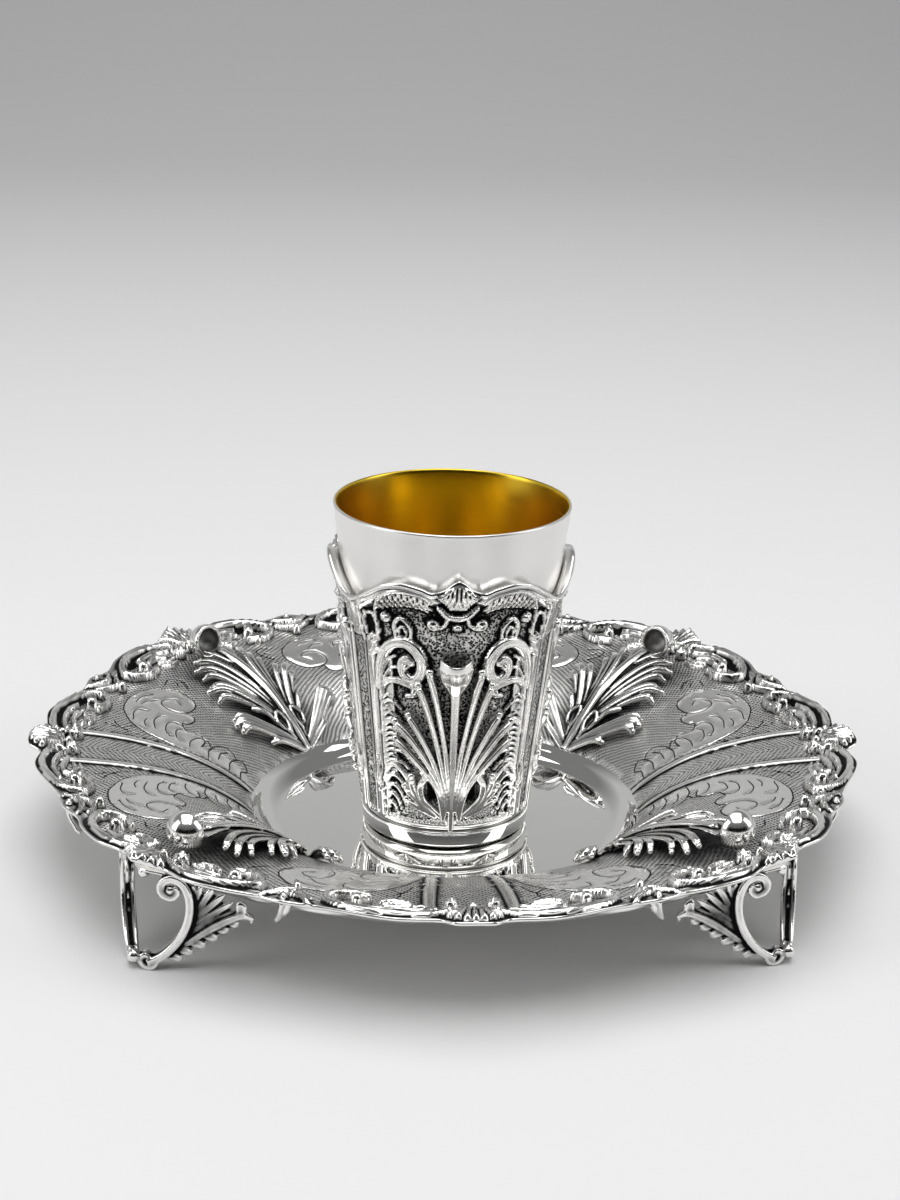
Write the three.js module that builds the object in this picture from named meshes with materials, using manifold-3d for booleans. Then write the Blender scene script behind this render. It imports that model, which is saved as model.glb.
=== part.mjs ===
// Kiddush cup on its own footed saucer, in cast and chased silver.
//
// Millimetres, +Z up, -Y is the front. The origin is on the surface that the feet stand on, under
// the middle of the set. The cup has three leaf panels, one of them to the front. The saucer has
// four plain channels, to the front, the back and the sides, and a leaf and a foot on each diagonal.

import * as THREE from 'three';
import { mergeVertices } from 'three/addons/utils/BufferGeometryUtils.js';
import Module from 'manifold-3d';

const wasm = await Module();
wasm.setup();

// --- Driving dimensions ---------------------------------------------------------------------

const GAP = 0.3; // clearance between two pieces that touch

// Saucer: a flat polished well, a short polished wall and a wide chased border.
const WELL_RADIUS = 45;
const WELL_TOP = 3.6;
const WALL_RADIUS = 50.5;
const WALL_TOP = 7.5;
const BORDER_RISE = 17.9; // height that the border would gain if it ran on for ever
const BORDER_EASE = 19.5; // distance in which the border gains most of that height
const DISH_RADIUS = 100.5;
const DISH_SHEET = 1.1;

// Cast rim: angle from the nearest channel in degrees, outer radius and crest height.
// The run is mirrored to give the eight parts of the rim.
const RIM_KEYS = [
  [0, 107.5, 27.3],
  [2.5, 107.0, 27.1],
  [4.5, 104.1, 26.3],
  [10, 105.6, 26.9],
  [17, 103.3, 26.5],
  [20.5, 102.9, 26.3],
  [24, 104.2, 26.8],
  [28, 103.2, 26.4],
  [32, 105.4, 27.1],
  [37, 106.5, 27.4],
  [41, 104.8, 27.0],
  [45, 108.3, 28.6],
];
const RIM_BREADTH = 9.5; // from the outer edge to the inner toe of the ornament
const RIM_BAND = 1.4; // height of the plain bright edge
const RIM_SKIRT = 1.6; // breadth of the fillet that hides the dish's edge
const PENDANT_ANGLE = 24; // from the nearest channel in degrees
const PENDANT_RADIUS = 102.9;
const PENDANT_TOP = 23.8;
const PENDANT_DROP = 5.5;
const PENDANT_WIDTH = 5;

// Leaves on the saucer, one on each diagonal. Lengths run out from the root, widths to each side.
const SAUCER_LEAF = {
  root: 51,
  rootHalfWidth: 2.2,
  thickness: 1.6,
  arch: 1.6,
  // One row for each rib from the middle outwards: length, side reach, lift of its tip.
  ribs: [
    [41, 0, 7.6],
    [39.5, 4.8, 7.2],
    [32, 9.4, 3.4],
    [22, 13.8, 3.0],
    [9.5, 16.6, 2.4],
    [4.5, 11, 1.4],
  ],
};

// Leaves on the cup, one on each panel. The root is a height above the floor.
const CUP_LEAF = {
  root: 10.5,
  rootHalfWidth: 1.6,
  thickness: 1.1,
  arch: 1.2,
  ribs: [
    [46.8, 0, 4.4],
    [48, 3.4, 4.0],
    [43.6, 6.1, 1.5],
    [34, 9.6, 1.3],
    [27, 14.4, 1.3],
    [15.2, 10.4, 1.4],
  ],
};
const LEAF_STEPS = 4;
const LEAF_SEAT = 0.8; // from the curved ground to the leaf's straight-sided underside

// Feet: two scrolled straps that meet at the floor on the diagonal, each with a leafy fin.
const FOOT_RADIUS = 107.6;
const FOOT_SWEEP = 35; // degrees that each half turns in from the tangent
const FOOT_TOP = 22.2;
const STRAP_WIDTH = 2.9;
const STRAP_DEPTH = 3.2;
const STRAP_REACH = 14.2; // from the diagonal to the widest part of a strap
const FIN_DEPTH = 1.6;
const PAD_RADIUS = 2.1;
const PAD_HEIGHT = 3.4;
const PAD_OFFSET = 3.4; // from the diagonal to each pad
const VOLUTE_RADIUS = 2.3;
const KNOT_RADIUS = 1.9; // boss that joins the two straps just above the floor
const KNOT_HEIGHT = 2.6;

// Cup: a thin beaker in a chased sleeve, on a plain foot ring.
const CUP_TOP = 90;
const CUP_BASE = 9;
const BEAKER_BASE_RADIUS = 20.7;
const BEAKER_RIM_RADIUS = 30;
const BEAKER_WALL = 0.8;
const BEAKER_FLARE = 1.1; // 1 gives a straight cone
const SLEEVE_WALL = 0.7;
const SLEEVE_FOOT = 9.4;
const SLEEVE_LIP = 1.3; // how far the sleeve's rolled top edge stands proud
const PANEL_ANGLE = 120;
// Top edge of one panel's sleeve: angle from the panel's middle in degrees and height.
const SLEEVE_EDGE = [
  [0, 79.2],
  [6, 77.0],
  [12, 75.8],
  [18, 76.7],
  [27, 77.4],
  [36, 76.5],
  [44, 74.2],
  [52, 71.6],
  [60, 70.2],
];
const RING_TOP = 8.7;
const RING_RADIUS = 21.8;
const RING_FOOT_RADIUS = 21.1;
const RING_WALL = 1.6;

// --- Geometry helpers -----------------------------------------------------------------------

const rad = THREE.MathUtils.degToRad;

/** Closed geometry with its position vertices merged and its empty triangles dropped. */
function closed(geometry) {
  let bare = geometry.clone();
  for (const name of Object.keys(bare.attributes)) {
    if (name !== 'position') bare.deleteAttribute(name);
  }
  bare = mergeVertices(bare, 1e-3);
  const kept = [];
  const index = bare.index.array;
  for (let i = 0; i < index.length; i += 3) {
    const [a, b, c] = [index[i], index[i + 1], index[i + 2]];
    if (a !== b && b !== c && c !== a) kept.push(a, b, c);
  }
  bare.setIndex(kept);
  return bare;
}

/** Six times the volume that a closed geometry encloses, negative when its faces point inwards. */
function signedVolume(geometry) {
  const p = geometry.attributes.position;
  const index = geometry.index.array;
  const [a, b, c] = [new THREE.Vector3(), new THREE.Vector3(), new THREE.Vector3()];
  let sum = 0;
  for (let i = 0; i < index.length; i += 3) {
    a.fromBufferAttribute(p, index[i]);
    b.fromBufferAttribute(p, index[i + 1]);
    c.fromBufferAttribute(p, index[i + 2]);
    sum += a.dot(b.cross(c));
  }
  return sum;
}

/** Closed geometry from quads, turned so that its faces point outwards. */
function fromQuads(quads) {
  const flat = [];
  for (const [a, b, c, d] of quads) flat.push(a, b, c, a, c, d);
  const geometry = closed(new THREE.BufferGeometry().setFromPoints(flat));
  if (signedVolume(geometry) < 0) {
    const index = geometry.index.array;
    for (let i = 0; i < index.length; i += 3) {
      [index[i], index[i + 1]] = [index[i + 1], index[i]];
    }
  }
  geometry.computeVertexNormals();
  return geometry;
}

/** Ring swept round the axis: sections[i] is the closed list of points at one angle. */
function ringSolid(sections) {
  const quads = [];
  sections.forEach((section, i) => {
    const next = sections[(i + 1) % sections.length];
    section.forEach((point, j) => {
      const k = (j + 1) % section.length;
      quads.push([point, next[j], next[k], section[k]]);
    });
  });
  return fromQuads(quads);
}

/** Slab between two grids of points of the same size, closed along its four sides. */
function slabSolid(top, bottom) {
  const rows = top.length - 1;
  const columns = top[0].length - 1;
  const quads = [];
  for (let i = 0; i < rows; i += 1) {
    for (let j = 0; j < columns; j += 1) {
      quads.push([top[i][j], top[i + 1][j], top[i + 1][j + 1], top[i][j + 1]]);
      quads.push([bottom[i][j + 1], bottom[i + 1][j + 1], bottom[i + 1][j], bottom[i][j]]);
    }
    quads.push([top[i + 1][0], top[i][0], bottom[i][0], bottom[i + 1][0]]);
    quads.push([top[i][columns], top[i + 1][columns], bottom[i + 1][columns], bottom[i][columns]]);
  }
  for (let j = 0; j < columns; j += 1) {
    quads.push([top[0][j], top[0][j + 1], bottom[0][j + 1], bottom[0][j]]);
    quads.push([top[rows][j + 1], top[rows][j], bottom[rows][j], bottom[rows][j + 1]]);
  }
  return fromQuads(quads);
}

/** Point at a radius, an angle in degrees counter-clockwise from +X, and a height. */
function polar(radius, degrees, z) {
  return new THREE.Vector3(radius * Math.cos(rad(degrees)), radius * Math.sin(rad(degrees)), z);
}

/** Solid turned round the Z axis from [radius, z] pairs that close on themselves or on the axis. */
function turned(profile, segments) {
  const points = profile.map(([r, z]) => new THREE.Vector2(r, z));
  const geometry = new THREE.LatheGeometry(points, segments);
  geometry.rotateX(Math.PI / 2);
  return geometry;
}

function toManifold(geometry) {
  const bare = closed(geometry);
  return new wasm.Manifold(
    new wasm.Mesh({
      numProp: 3,
      vertProperties: new Float32Array(bare.attributes.position.array),
      triVerts: new Uint32Array(bare.index.array),
    }),
  );
}

/** One solid made of the joined geometries. */
function joined(geometries) {
  const solid = geometries.map(toManifold).reduce((sum, item) => sum.add(item));
  const mesh = solid.getMesh();
  const geometry = new THREE.BufferGeometry();
  geometry.setAttribute('position', new THREE.BufferAttribute(mesh.vertProperties, 3));
  geometry.setIndex(new THREE.BufferAttribute(mesh.triVerts, 1));
  geometry.computeVertexNormals();
  return geometry;
}

/** Value at x on the line through [x, y] pairs in rising x. */
function along(pairs, x) {
  const end = pairs.findIndex(([at]) => at >= x);
  if (end === 0) return pairs[0][1];
  if (end < 0) return pairs[pairs.length - 1][1];
  const [x0, y0] = pairs[end - 1];
  const [x1, y1] = pairs[end];
  return THREE.MathUtils.mapLinear(x, x0, x1, y0, y1);
}

// --- Surfaces that other pieces follow ------------------------------------------------------

/** Height of the saucer's upper side at a radius, outside its wall. */
function borderTop(radius) {
  return WALL_TOP + BORDER_RISE * (1 - Math.exp((WALL_RADIUS - radius) / BORDER_EASE));
}

/** Outer radius of the beaker at a height. */
function beakerRadius(z) {
  const share = Math.max(0, (z - CUP_BASE) / (CUP_TOP - CUP_BASE));
  return BEAKER_BASE_RADIUS + (BEAKER_RIM_RADIUS - BEAKER_BASE_RADIUS) * share ** BEAKER_FLARE;
}

/** Outer radius of the sleeve's ground at a height. */
function sleeveRadius(z) {
  return beakerRadius(z) + GAP + SLEEVE_WALL;
}

// --- Saucer ---------------------------------------------------------------------------------

function makeDish() {
  const top = [[0, WELL_TOP], [WELL_RADIUS, WELL_TOP], [WELL_RADIUS + 2.8, WELL_TOP + 1.3]];
  for (const radius of [WALL_RADIUS, 57, 67, 82, DISH_RADIUS]) {
    top.push([radius, borderTop(radius)]);
  }
  const underside = top.map(([radius, z]) => [radius, z - DISH_SHEET]);
  return turned([...underside, ...top.reverse()], 48);
}

/** Leaf-shaped tip that hangs below the rim. */
function makePendant(degrees) {
  const half = PENDANT_WIDTH / 2;
  const shape = new THREE.Shape();
  shape.moveTo(-half, 1.2);
  shape.quadraticCurveTo(-half, -PENDANT_DROP * 0.5, 0, -PENDANT_DROP);
  shape.quadraticCurveTo(half, -PENDANT_DROP * 0.5, half, 1.2);
  const blade = new THREE.ExtrudeGeometry(shape, {
    depth: 1.4,
    bevelEnabled: false,
    curveSegments: 2,
  });
  blade.rotateX(Math.PI / 2);
  blade.rotateZ(Math.PI / 2);
  blade.translate(PENDANT_RADIUS, 0, PENDANT_TOP);
  blade.rotateZ(rad(degrees));
  return blade;
}

function makeRim() {
  const sections = [];
  const addSection = (degrees, radius, crest) => {
    const edge = DISH_RADIUS + GAP;
    const seat = borderTop(DISH_RADIUS) + GAP;
    const under = borderTop(DISH_RADIUS) - DISH_SHEET;
    const inner = radius - RIM_BREADTH;
    const profile = [
      [inner, borderTop(inner) + GAP],
      [inner + 2.2, crest - 0.5],
      [radius - 2.2, crest],
      [radius, crest - 1.2],
      [radius - 0.2, crest - RIM_BAND],
      [edge + RIM_SKIRT, crest - RIM_BAND - 0.5],
      [edge + RIM_SKIRT / 2, under],
      [edge, under],
      [edge, seat],
    ];
    sections.push(profile.map(([r, z]) => polar(r, degrees, z)));
  };
  for (let quarter = 0; quarter < 4; quarter += 1) {
    for (const [angle, radius, crest] of RIM_KEYS) addSection(quarter * 90 + angle, radius, crest);
    const back = RIM_KEYS.slice(1, -1).reverse();
    for (const [angle, radius, crest] of back) addSection(quarter * 90 + 90 - angle, radius, crest);
  }
  const pieces = [ringSolid(sections)];
  for (let quarter = 0; quarter < 4; quarter += 1) {
    for (const side of [-1, 1]) pieces.push(makePendant(quarter * 90 + side * PENDANT_ANGLE));
  }
  return joined(pieces);
}

/**
 * Acanthus leaf laid on a surface: ribs fan out from the root, with a valley between two ribs and
 * a hooked hood at the tip of the middle ones. place(length, side, lift) gives a point in space.
 */
function makeLeaf(leaf, place) {
  const columns = [];
  const ribs = leaf.ribs;
  for (let n = ribs.length - 1; n >= 0; n -= 1) {
    const [length, reach, lift] = ribs[n];
    columns.push({ length, reach, lift, ridge: leaf.arch });
    if (n > 1) {
      const [length2, reach2, lift2] = ribs[n - 1];
      columns.push({
        length: 0.84 * (length + length2) / 2,
        reach: 0.84 * (reach + reach2) / 2,
        lift: 0.5 * (lift + lift2) / 2,
        ridge: 0.15 * leaf.arch,
      });
    }
  }
  const mirrored = columns.slice(0, -1).reverse().map((item) => ({ ...item, reach: -item.reach }));
  const all = [...columns, ...mirrored];
  const middle = columns.length - 1;
  const top = [];
  const bottom = [];
  all.forEach((column, i) => {
    const rootSide = leaf.rootHalfWidth * (middle - i) / middle;
    const topRow = [];
    const bottomRow = [];
    for (let step = 0; step <= LEAF_STEPS; step += 1) {
      const t = step / LEAF_STEPS;
      const length = leaf.root + column.length * t ** 0.9;
      const side = THREE.MathUtils.lerp(rootSide, column.reach, t ** 1.7);
      const lift = LEAF_SEAT + column.lift * t ** 3;
      topRow.push(place(length, side, lift + leaf.thickness * 0.4 + column.ridge * (0.35 + 0.65 * t)));
      bottomRow.push(place(length, side, lift));
    }
    top.push(topRow);
    bottom.push(bottomRow);
  });
  return slabSolid(top, bottom);
}

function makeSaucerLeaf(degrees) {
  return makeLeaf(SAUCER_LEAF, (length, side, lift) => {
    const point = new THREE.Vector3(length, side, borderTop(Math.hypot(length, side)) + lift);
    return point.applyAxisAngle(new THREE.Vector3(0, 0, 1), rad(degrees));
  });
}

/** One half of a foot in its own plane: x away from the diagonal, y up, z its thickness. */
function makeFootHalf(side) {
  const strap = new THREE.Shape();
  const inner = STRAP_REACH - STRAP_WIDTH;
  strap.moveTo(PAD_OFFSET - STRAP_WIDTH / 2, 1.6);
  strap.quadraticCurveTo(inner, 9, inner, 16.5);
  strap.quadraticCurveTo(inner, 19, inner - 2, FOOT_TOP);
  strap.lineTo(STRAP_REACH - 1.4, FOOT_TOP);
  strap.quadraticCurveTo(STRAP_REACH + 0.6, 16, STRAP_REACH - 1.2, 11.5);
  strap.quadraticCurveTo(STRAP_REACH - 3.4, 6, PAD_OFFSET + STRAP_WIDTH / 2 + 0.9, 1.2);
  const fin = new THREE.Shape();
  fin.moveTo(6, 1.6);
  for (const [x, y, cx, cy] of [
    [9.8, 3.0, 8.2, 0.8],
    [15.6, 7.2, 14.6, 3.4],
    [20.6, 10.6, 20.2, 7.2],
    [22.6, 13.4, 23.6, 10.6],
    [27.4, 14.6, 27.4, 12.0],
    [25.2, 17.6, 28.6, 17.8],
  ]) {
    fin.quadraticCurveTo(cx, cy, x, y);
  }
  fin.lineTo(21.5, FOOT_TOP);
  fin.lineTo(12, FOOT_TOP);
  fin.lineTo(12, 9);
  const solids = [
    [strap, STRAP_DEPTH, 2],
    [fin, FIN_DEPTH, 2],
  ].map(([shape, depth, curveSegments]) => {
    const body = new THREE.ExtrudeGeometry(shape, { depth, bevelEnabled: false, curveSegments });
    body.translate(0, 0, -depth / 2);
    return body;
  });
  const volute = new THREE.CylinderGeometry(VOLUTE_RADIUS, VOLUTE_RADIUS, STRAP_DEPTH + 0.5, 8);
  volute.rotateX(Math.PI / 2);
  volute.translate(inner - 2.2, FOOT_TOP - 2.9, 0);
  solids.push(volute);
  for (const solid of solids) {
    // Stand the plane up, so that its y is the height and its x runs to one side of the diagonal.
    // Every shape is the same on both faces, so a half turn makes the other side's copy.
    solid.rotateX(Math.PI / 2);
    solid.rotateZ(rad(side * (90 + FOOT_SWEEP)));
  }
  return solids;
}

function makeFoot(degrees) {
  const solids = [...makeFootHalf(1), ...makeFootHalf(-1)];
  for (const side of [-1, 1]) {
    const pad = new THREE.CylinderGeometry(PAD_RADIUS, PAD_RADIUS * 0.8, PAD_HEIGHT, 8);
    pad.rotateX(Math.PI / 2);
    pad.translate(PAD_OFFSET, 0, PAD_HEIGHT / 2);
    pad.rotateZ(rad(side * (90 + FOOT_SWEEP)));
    solids.push(pad);
  }
  const knot = new THREE.CylinderGeometry(KNOT_RADIUS, KNOT_RADIUS, KNOT_HEIGHT, 6);
  knot.rotateX(Math.PI / 2);
  knot.translate(0, 0, KNOT_HEIGHT);
  solids.push(knot);
  const foot = joined(solids);
  foot.translate(FOOT_RADIUS, 0, 0);
  foot.rotateZ(rad(degrees));
  return foot;
}

// --- Cup ------------------------------------------------------------------------------------

function makeBeaker() {
  const heights = [CUP_BASE, 24, 44, 66, CUP_TOP];
  const outside = heights.map((z) => [beakerRadius(z), z]);
  const inside = heights.map((z, i) => [beakerRadius(z) - BEAKER_WALL, i === 0 ? z + BEAKER_WALL : z]);
  return turned([[0, CUP_BASE], ...outside, ...inside.reverse(), [0, CUP_BASE + BEAKER_WALL]], 40);
}

function makeSleeve() {
  const sections = [];
  const stepAngle = 6;
  for (let angle = 0; angle < 360; angle += stepAngle) {
    const fromPanel = Math.abs(((angle + PANEL_ANGLE / 2) % PANEL_ANGLE) - PANEL_ANGLE / 2);
    const edge = along(SLEEVE_EDGE, fromPanel);
    const outside = [SLEEVE_FOOT, 34, edge - 8].map((z) => [sleeveRadius(z), z]);
    const inside = [SLEEVE_FOOT, edge - 8, edge].map((z) => [beakerRadius(z) + GAP, z]).reverse();
    const proud = [
      [sleeveRadius(edge) + SLEEVE_LIP, edge - 2.2],
      [sleeveRadius(edge) + SLEEVE_LIP - 0.4, edge],
    ];
    sections.push([...outside, ...proud, ...inside].map(([r, z]) => polar(r, angle - 90, z)));
  }
  return ringSolid(sections);
}

function makeCupLeaf(degrees) {
  return makeLeaf(CUP_LEAF, (height, side, lift) => {
    const radius = sleeveRadius(height) + lift;
    return polar(radius, degrees + THREE.MathUtils.radToDeg(side / sleeveRadius(height)), height);
  });
}

function makeRing() {
  const foot = WELL_TOP + GAP;
  const profile = [
    [RING_RADIUS - RING_WALL, foot],
    [RING_FOOT_RADIUS - 0.6, foot],
    [RING_FOOT_RADIUS, foot + 0.7],
    [RING_RADIUS, RING_TOP - 0.8],
    [RING_RADIUS - 0.3, RING_TOP],
    [RING_RADIUS - RING_WALL, RING_TOP],
    [RING_RADIUS - RING_WALL, foot],
  ];
  return turned(profile, 32);
}

// --- The set --------------------------------------------------------------------------------

const SILVER = { polished: 0xe6e6e8, chased: 0xb9b9bd };

/** Named mesh with a silver finish of its own. */
function piece(name, geometry, color, roughness) {
  const material = new THREE.MeshStandardMaterial({ color, roughness, metalness: 1 });
  const mesh = new THREE.Mesh(geometry, material);
  mesh.name = name;
  return mesh;
}

const saucer = new THREE.Group();
saucer.add(piece('saucer_dish', makeDish(), SILVER.chased, 0.3));
saucer.add(piece('saucer_rim', makeRim(), SILVER.polished, 0.18));
for (let corner = 0; corner < 4; corner += 1) {
  const degrees = 225 + corner * 90;
  saucer.add(piece(`saucer_leaf_${corner + 1}`, makeSaucerLeaf(degrees), SILVER.polished, 0.2));
  saucer.add(piece(`saucer_foot_${corner + 1}`, makeFoot(degrees), SILVER.polished, 0.2));
}

const cup = new THREE.Group();
cup.add(piece('cup_beaker', makeBeaker(), SILVER.polished, 0.3));
cup.add(piece('cup_sleeve', makeSleeve(), SILVER.chased, 0.25));
cup.add(piece('cup_base_ring', makeRing(), SILVER.polished, 0.08));
for (let panel = 0; panel < 3; panel += 1) {
  const degrees = 270 + panel * PANEL_ANGLE;
  cup.add(piece(`cup_leaf_${panel + 1}`, makeCupLeaf(degrees), SILVER.polished, 0.2));
}

const set = new THREE.Group();
set.add(saucer, cup);

export default set;
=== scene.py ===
"""Kiddush cup on its footed saucer: chased relief, cast ornament, silver finishes and a plain studio.

Lengths are in millimetres, +Z up and -Y to the front, until a mesh is made, which turns them into
metres. The chased sheet is a grid or a net of points whose heights are worked with strokes, as a
chaser works with punches, because edit-mode operators can't cut relief that fine. The cast pieces
are fingers and shells laid on the form below and then fused into one solid.
"""

import logging
import math
from collections.abc import Callable, Sequence
from dataclasses import dataclass, field
from enum import Enum

import bpy
import numpy as np
from mathutils import Matrix, Vector
from mathutils.geometry import delaunay_2d_cdt


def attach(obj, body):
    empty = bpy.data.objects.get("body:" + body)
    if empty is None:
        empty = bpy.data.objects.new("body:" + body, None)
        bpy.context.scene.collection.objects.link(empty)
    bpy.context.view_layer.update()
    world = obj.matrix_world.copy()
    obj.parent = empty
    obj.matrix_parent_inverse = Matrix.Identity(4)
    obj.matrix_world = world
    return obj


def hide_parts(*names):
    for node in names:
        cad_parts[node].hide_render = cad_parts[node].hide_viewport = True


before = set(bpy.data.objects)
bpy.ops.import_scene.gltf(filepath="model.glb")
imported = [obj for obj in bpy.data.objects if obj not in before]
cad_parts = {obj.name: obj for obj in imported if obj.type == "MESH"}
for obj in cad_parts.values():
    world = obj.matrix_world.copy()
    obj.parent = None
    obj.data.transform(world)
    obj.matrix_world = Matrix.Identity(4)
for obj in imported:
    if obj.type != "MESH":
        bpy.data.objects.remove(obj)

log = logging.getLogger("kiddush_cup")

MM = 0.001
Pair = tuple[float, float]
Place = Callable[[np.ndarray], np.ndarray]

# The saucer's form, as the frame has it.
WELL_RADIUS = 45.0
WELL_TOP = 3.6
WALL_RADIUS = 50.5
WALL_TOP = 7.5
BORDER_RISE = 17.9
BORDER_EASE = 19.5
DISH_RADIUS = 100.5
DISH_SHEET = 1.1
FRONT_LEFT = 225.0  # direction of the first leaf and the first foot, in degrees from +X

# The cup's form, as the frame has it.
CUP_TOP = 90.0
CUP_BASE = 9.0
BEAKER_BASE_RADIUS = 20.7
BEAKER_RIM_RADIUS = 30.0
BEAKER_FLARE = 1.1
BEAKER_WALL = 0.8
SLEEVE_STAND_OFF = 1.0
SLEEVE_FOOT = 9.4
PANEL_ANGLE = 120.0


# --- Curves and relief ----------------------------------------------------------------------


def smooth_line(points: Sequence[Sequence[float]], spacing: float = 0.45) -> np.ndarray:
    """Even points along a smooth line through a few others.

    Args:
        points: The points that the line passes through, in two or three dimensions.
        spacing: About how far apart the points of the result are, in millimetres.

    Returns:
        One row for each point.
    """
    given = np.asarray(points, float)
    ends = np.vstack([2 * given[0] - given[1], given, 2 * given[-1] - given[-2]])
    t = np.linspace(0, 1, 10, endpoint=False)[:, None]
    spans = [
        0.5 * (2 * b + (c - a) * t + (2 * a - 5 * b + 4 * c - d) * t**2 + (3 * b - a - 3 * c + d) * t**3)
        for a, b, c, d in zip(ends[:-3], ends[1:-2], ends[2:-1], ends[3:])
    ]
    dense = np.vstack([*spans, given[-1:]])
    run = np.r_[0, np.cumsum(np.linalg.norm(np.diff(dense, axis=0), axis=1))]
    at = np.linspace(0, run[-1], max(3, round(run[-1] / spacing) + 1))
    return np.column_stack([np.interp(at, run, column) for column in dense.T])


def directions(line: np.ndarray) -> np.ndarray:
    """Unit vectors along a line, one at each of its points."""
    along = np.gradient(line, axis=0)
    return along / np.linalg.norm(along, axis=1)[:, None]


def turned(x: np.ndarray, y: np.ndarray, angle: float) -> list[np.ndarray]:
    """Flat coordinates turned about the origin by an angle in radians."""
    return [x * math.cos(angle) - y * math.sin(angle), x * math.sin(angle) + y * math.cos(angle)]


def smooth_keys(keys: Sequence[Sequence[float]], x: np.ndarray, column: int = 1) -> np.ndarray:
    """Value at x on a smooth curve through rows of keys in rising order of their first number.

    Args:
        keys: The rows.
        x: Where the curve is read.
        column: Which number of each row the curve runs through.

    Returns:
        One value for each x.
    """
    table = np.asarray(keys, float)
    line = smooth_line(table[:, [0, column]], 0.1)
    return np.interp(x, line[:, 0], line[:, 1])


def spiral(centre: Pair, radii: Pair, start: float, turns: float) -> np.ndarray:
    """Points on a spiral.

    Args:
        centre: Its middle.
        radii: Its radius at the start and at the end.
        start: The angle of its first point, in degrees.
        turns: How often it goes round, negative for clockwise.

    Returns:
        One row for each point.
    """
    share = np.linspace(0, 1, 8 + int(abs(turns) * 14))
    angle = np.radians(start) + share * turns * 2 * np.pi
    radius = radii[0] + (radii[1] - radii[0]) * share
    return np.column_stack([centre[0] + radius * np.cos(angle), centre[1] + radius * np.sin(angle)])


class Relief:
    """Heights worked over a flat layout of points."""

    def __init__(self, points: np.ndarray, floor: float = 0.0) -> None:
        """Start with every point at the same height.

        Args:
            points: One row for each point of the layout.
            floor: The height of the plain ground.
        """
        self.points = points
        self.height = np.full(len(points), floor)

    def near(self, line: np.ndarray, reach: float) -> tuple[np.ndarray, np.ndarray, np.ndarray]:
        """Points of the layout close to a line.

        Args:
            line: The points of the line.
            reach: The greatest distance that counts as close.

        Returns:
            The close points' indices, their distances, and their places along the line from 0 to 1.
        """
        low, high = line.min(0) - reach, line.max(0) + reach
        index = np.nonzero(((self.points > low) & (self.points < high)).all(1))[0]
        at = self.points[index]
        best = np.full(len(index), np.inf)
        share = np.zeros(len(index))
        spans = len(line) - 1
        for k in range(spans):
            step = line[k + 1] - line[k]
            t = np.clip((at - line[k]) @ step / max(step @ step, 1e-9), 0, 1)
            distance = np.linalg.norm(at - line[k] - t[:, None] * step, axis=1)
            closer = distance < best
            best[closer] = distance[closer]
            share[closer] = (k + t[closer]) / spans
        close = best < reach
        return index[close], best[close], share[close]

    def ridge(
        self,
        points: Sequence[Sequence[float]],
        width: float,
        height: float,
        swell: Sequence[float] = (1, 1, 1),
        flute: float = 0.0,
        floor: float = 0.0,
    ) -> None:
        """Raise a rounded ridge.

        Args:
            points: The points that the ridge runs through.
            width: Its full width.
            height: Its height above the floor.
            swell: How wide it is at its start, middle and end, as a share of its width.
            flute: How deep a hollow runs along its crown, as a share of its height.
            floor: The height that it rises from.
        """
        index, distance, share = self.near(smooth_line(points), width / 2)
        full = np.interp(share, (0, 0.5, 1), swell)
        k = distance / (width / 2 * full)
        inside = k < 1
        k, full, index = k[inside], full[inside], index[inside]
        crown = np.sqrt(1 - k**2) - flute * np.clip(1 - (k / 0.45) ** 2, 0, 1)
        self.height[index] = np.maximum(self.height[index], floor + height * np.sqrt(full) * crown)

    def ball(self, centre: Pair, radius: float, height: float, eye: float = 0.0) -> None:
        """Raise a round boss, with a pit in its middle where eye is over 0.

        Args:
            centre: Its middle.
            radius: Its radius.
            height: Its height.
            eye: The depth of the pit, as a share of the height.
        """
        distance = np.linalg.norm(self.points - np.asarray(centre), axis=1)
        index = np.nonzero(distance < radius)[0]
        k = distance[index] / radius
        crown = np.sqrt(1 - k**2) - eye * np.clip(1 - (k / 0.4) ** 2, 0, 1)
        self.height[index] = np.maximum(self.height[index], height * crown)

    def cut(self, points: Sequence[Sequence[float]], width: float, depth: float) -> None:
        """Cut a groove of a full width and a depth along a line."""
        index, distance, _ = self.near(smooth_line(points), width / 2)
        self.height[index] -= depth * (1 - distance / (width / 2))

    def volute(self, centre: Pair, radius: float, height: float, start: float, turns: float) -> None:
        """Raise a rolled scroll end round a small boss.

        Args:
            centre: Its middle.
            radius: Its outer radius.
            height: The height of its boss.
            start: The angle at which it starts, in degrees.
            turns: How often it goes round, negative for clockwise.
        """
        band = radius * 0.5
        self.ridge(spiral(centre, (radius - band / 2, band * 0.7), start, turns), band, height * 0.8)
        self.ball(centre, band * 0.95, height)


def inside_outline(points: np.ndarray, outline: np.ndarray) -> np.ndarray:
    """Whether each point lies inside a closed outline.

    Args:
        points: One row for each point.
        outline: The outline's corners in order.

    Returns:
        True or false for each point.
    """
    x, y = points.T
    odd = np.zeros(len(points), bool)
    for (x0, y0), (x1, y1) in zip(outline, np.roll(outline, -1, axis=0)):
        if y0 != y1:
            crosses = (y0 > y) != (y1 > y)
            odd ^= crosses & (x < (x1 - x0) * (y - y0) / (y1 - y0) + x0)
    return odd


# --- Meshes ---------------------------------------------------------------------------------


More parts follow.
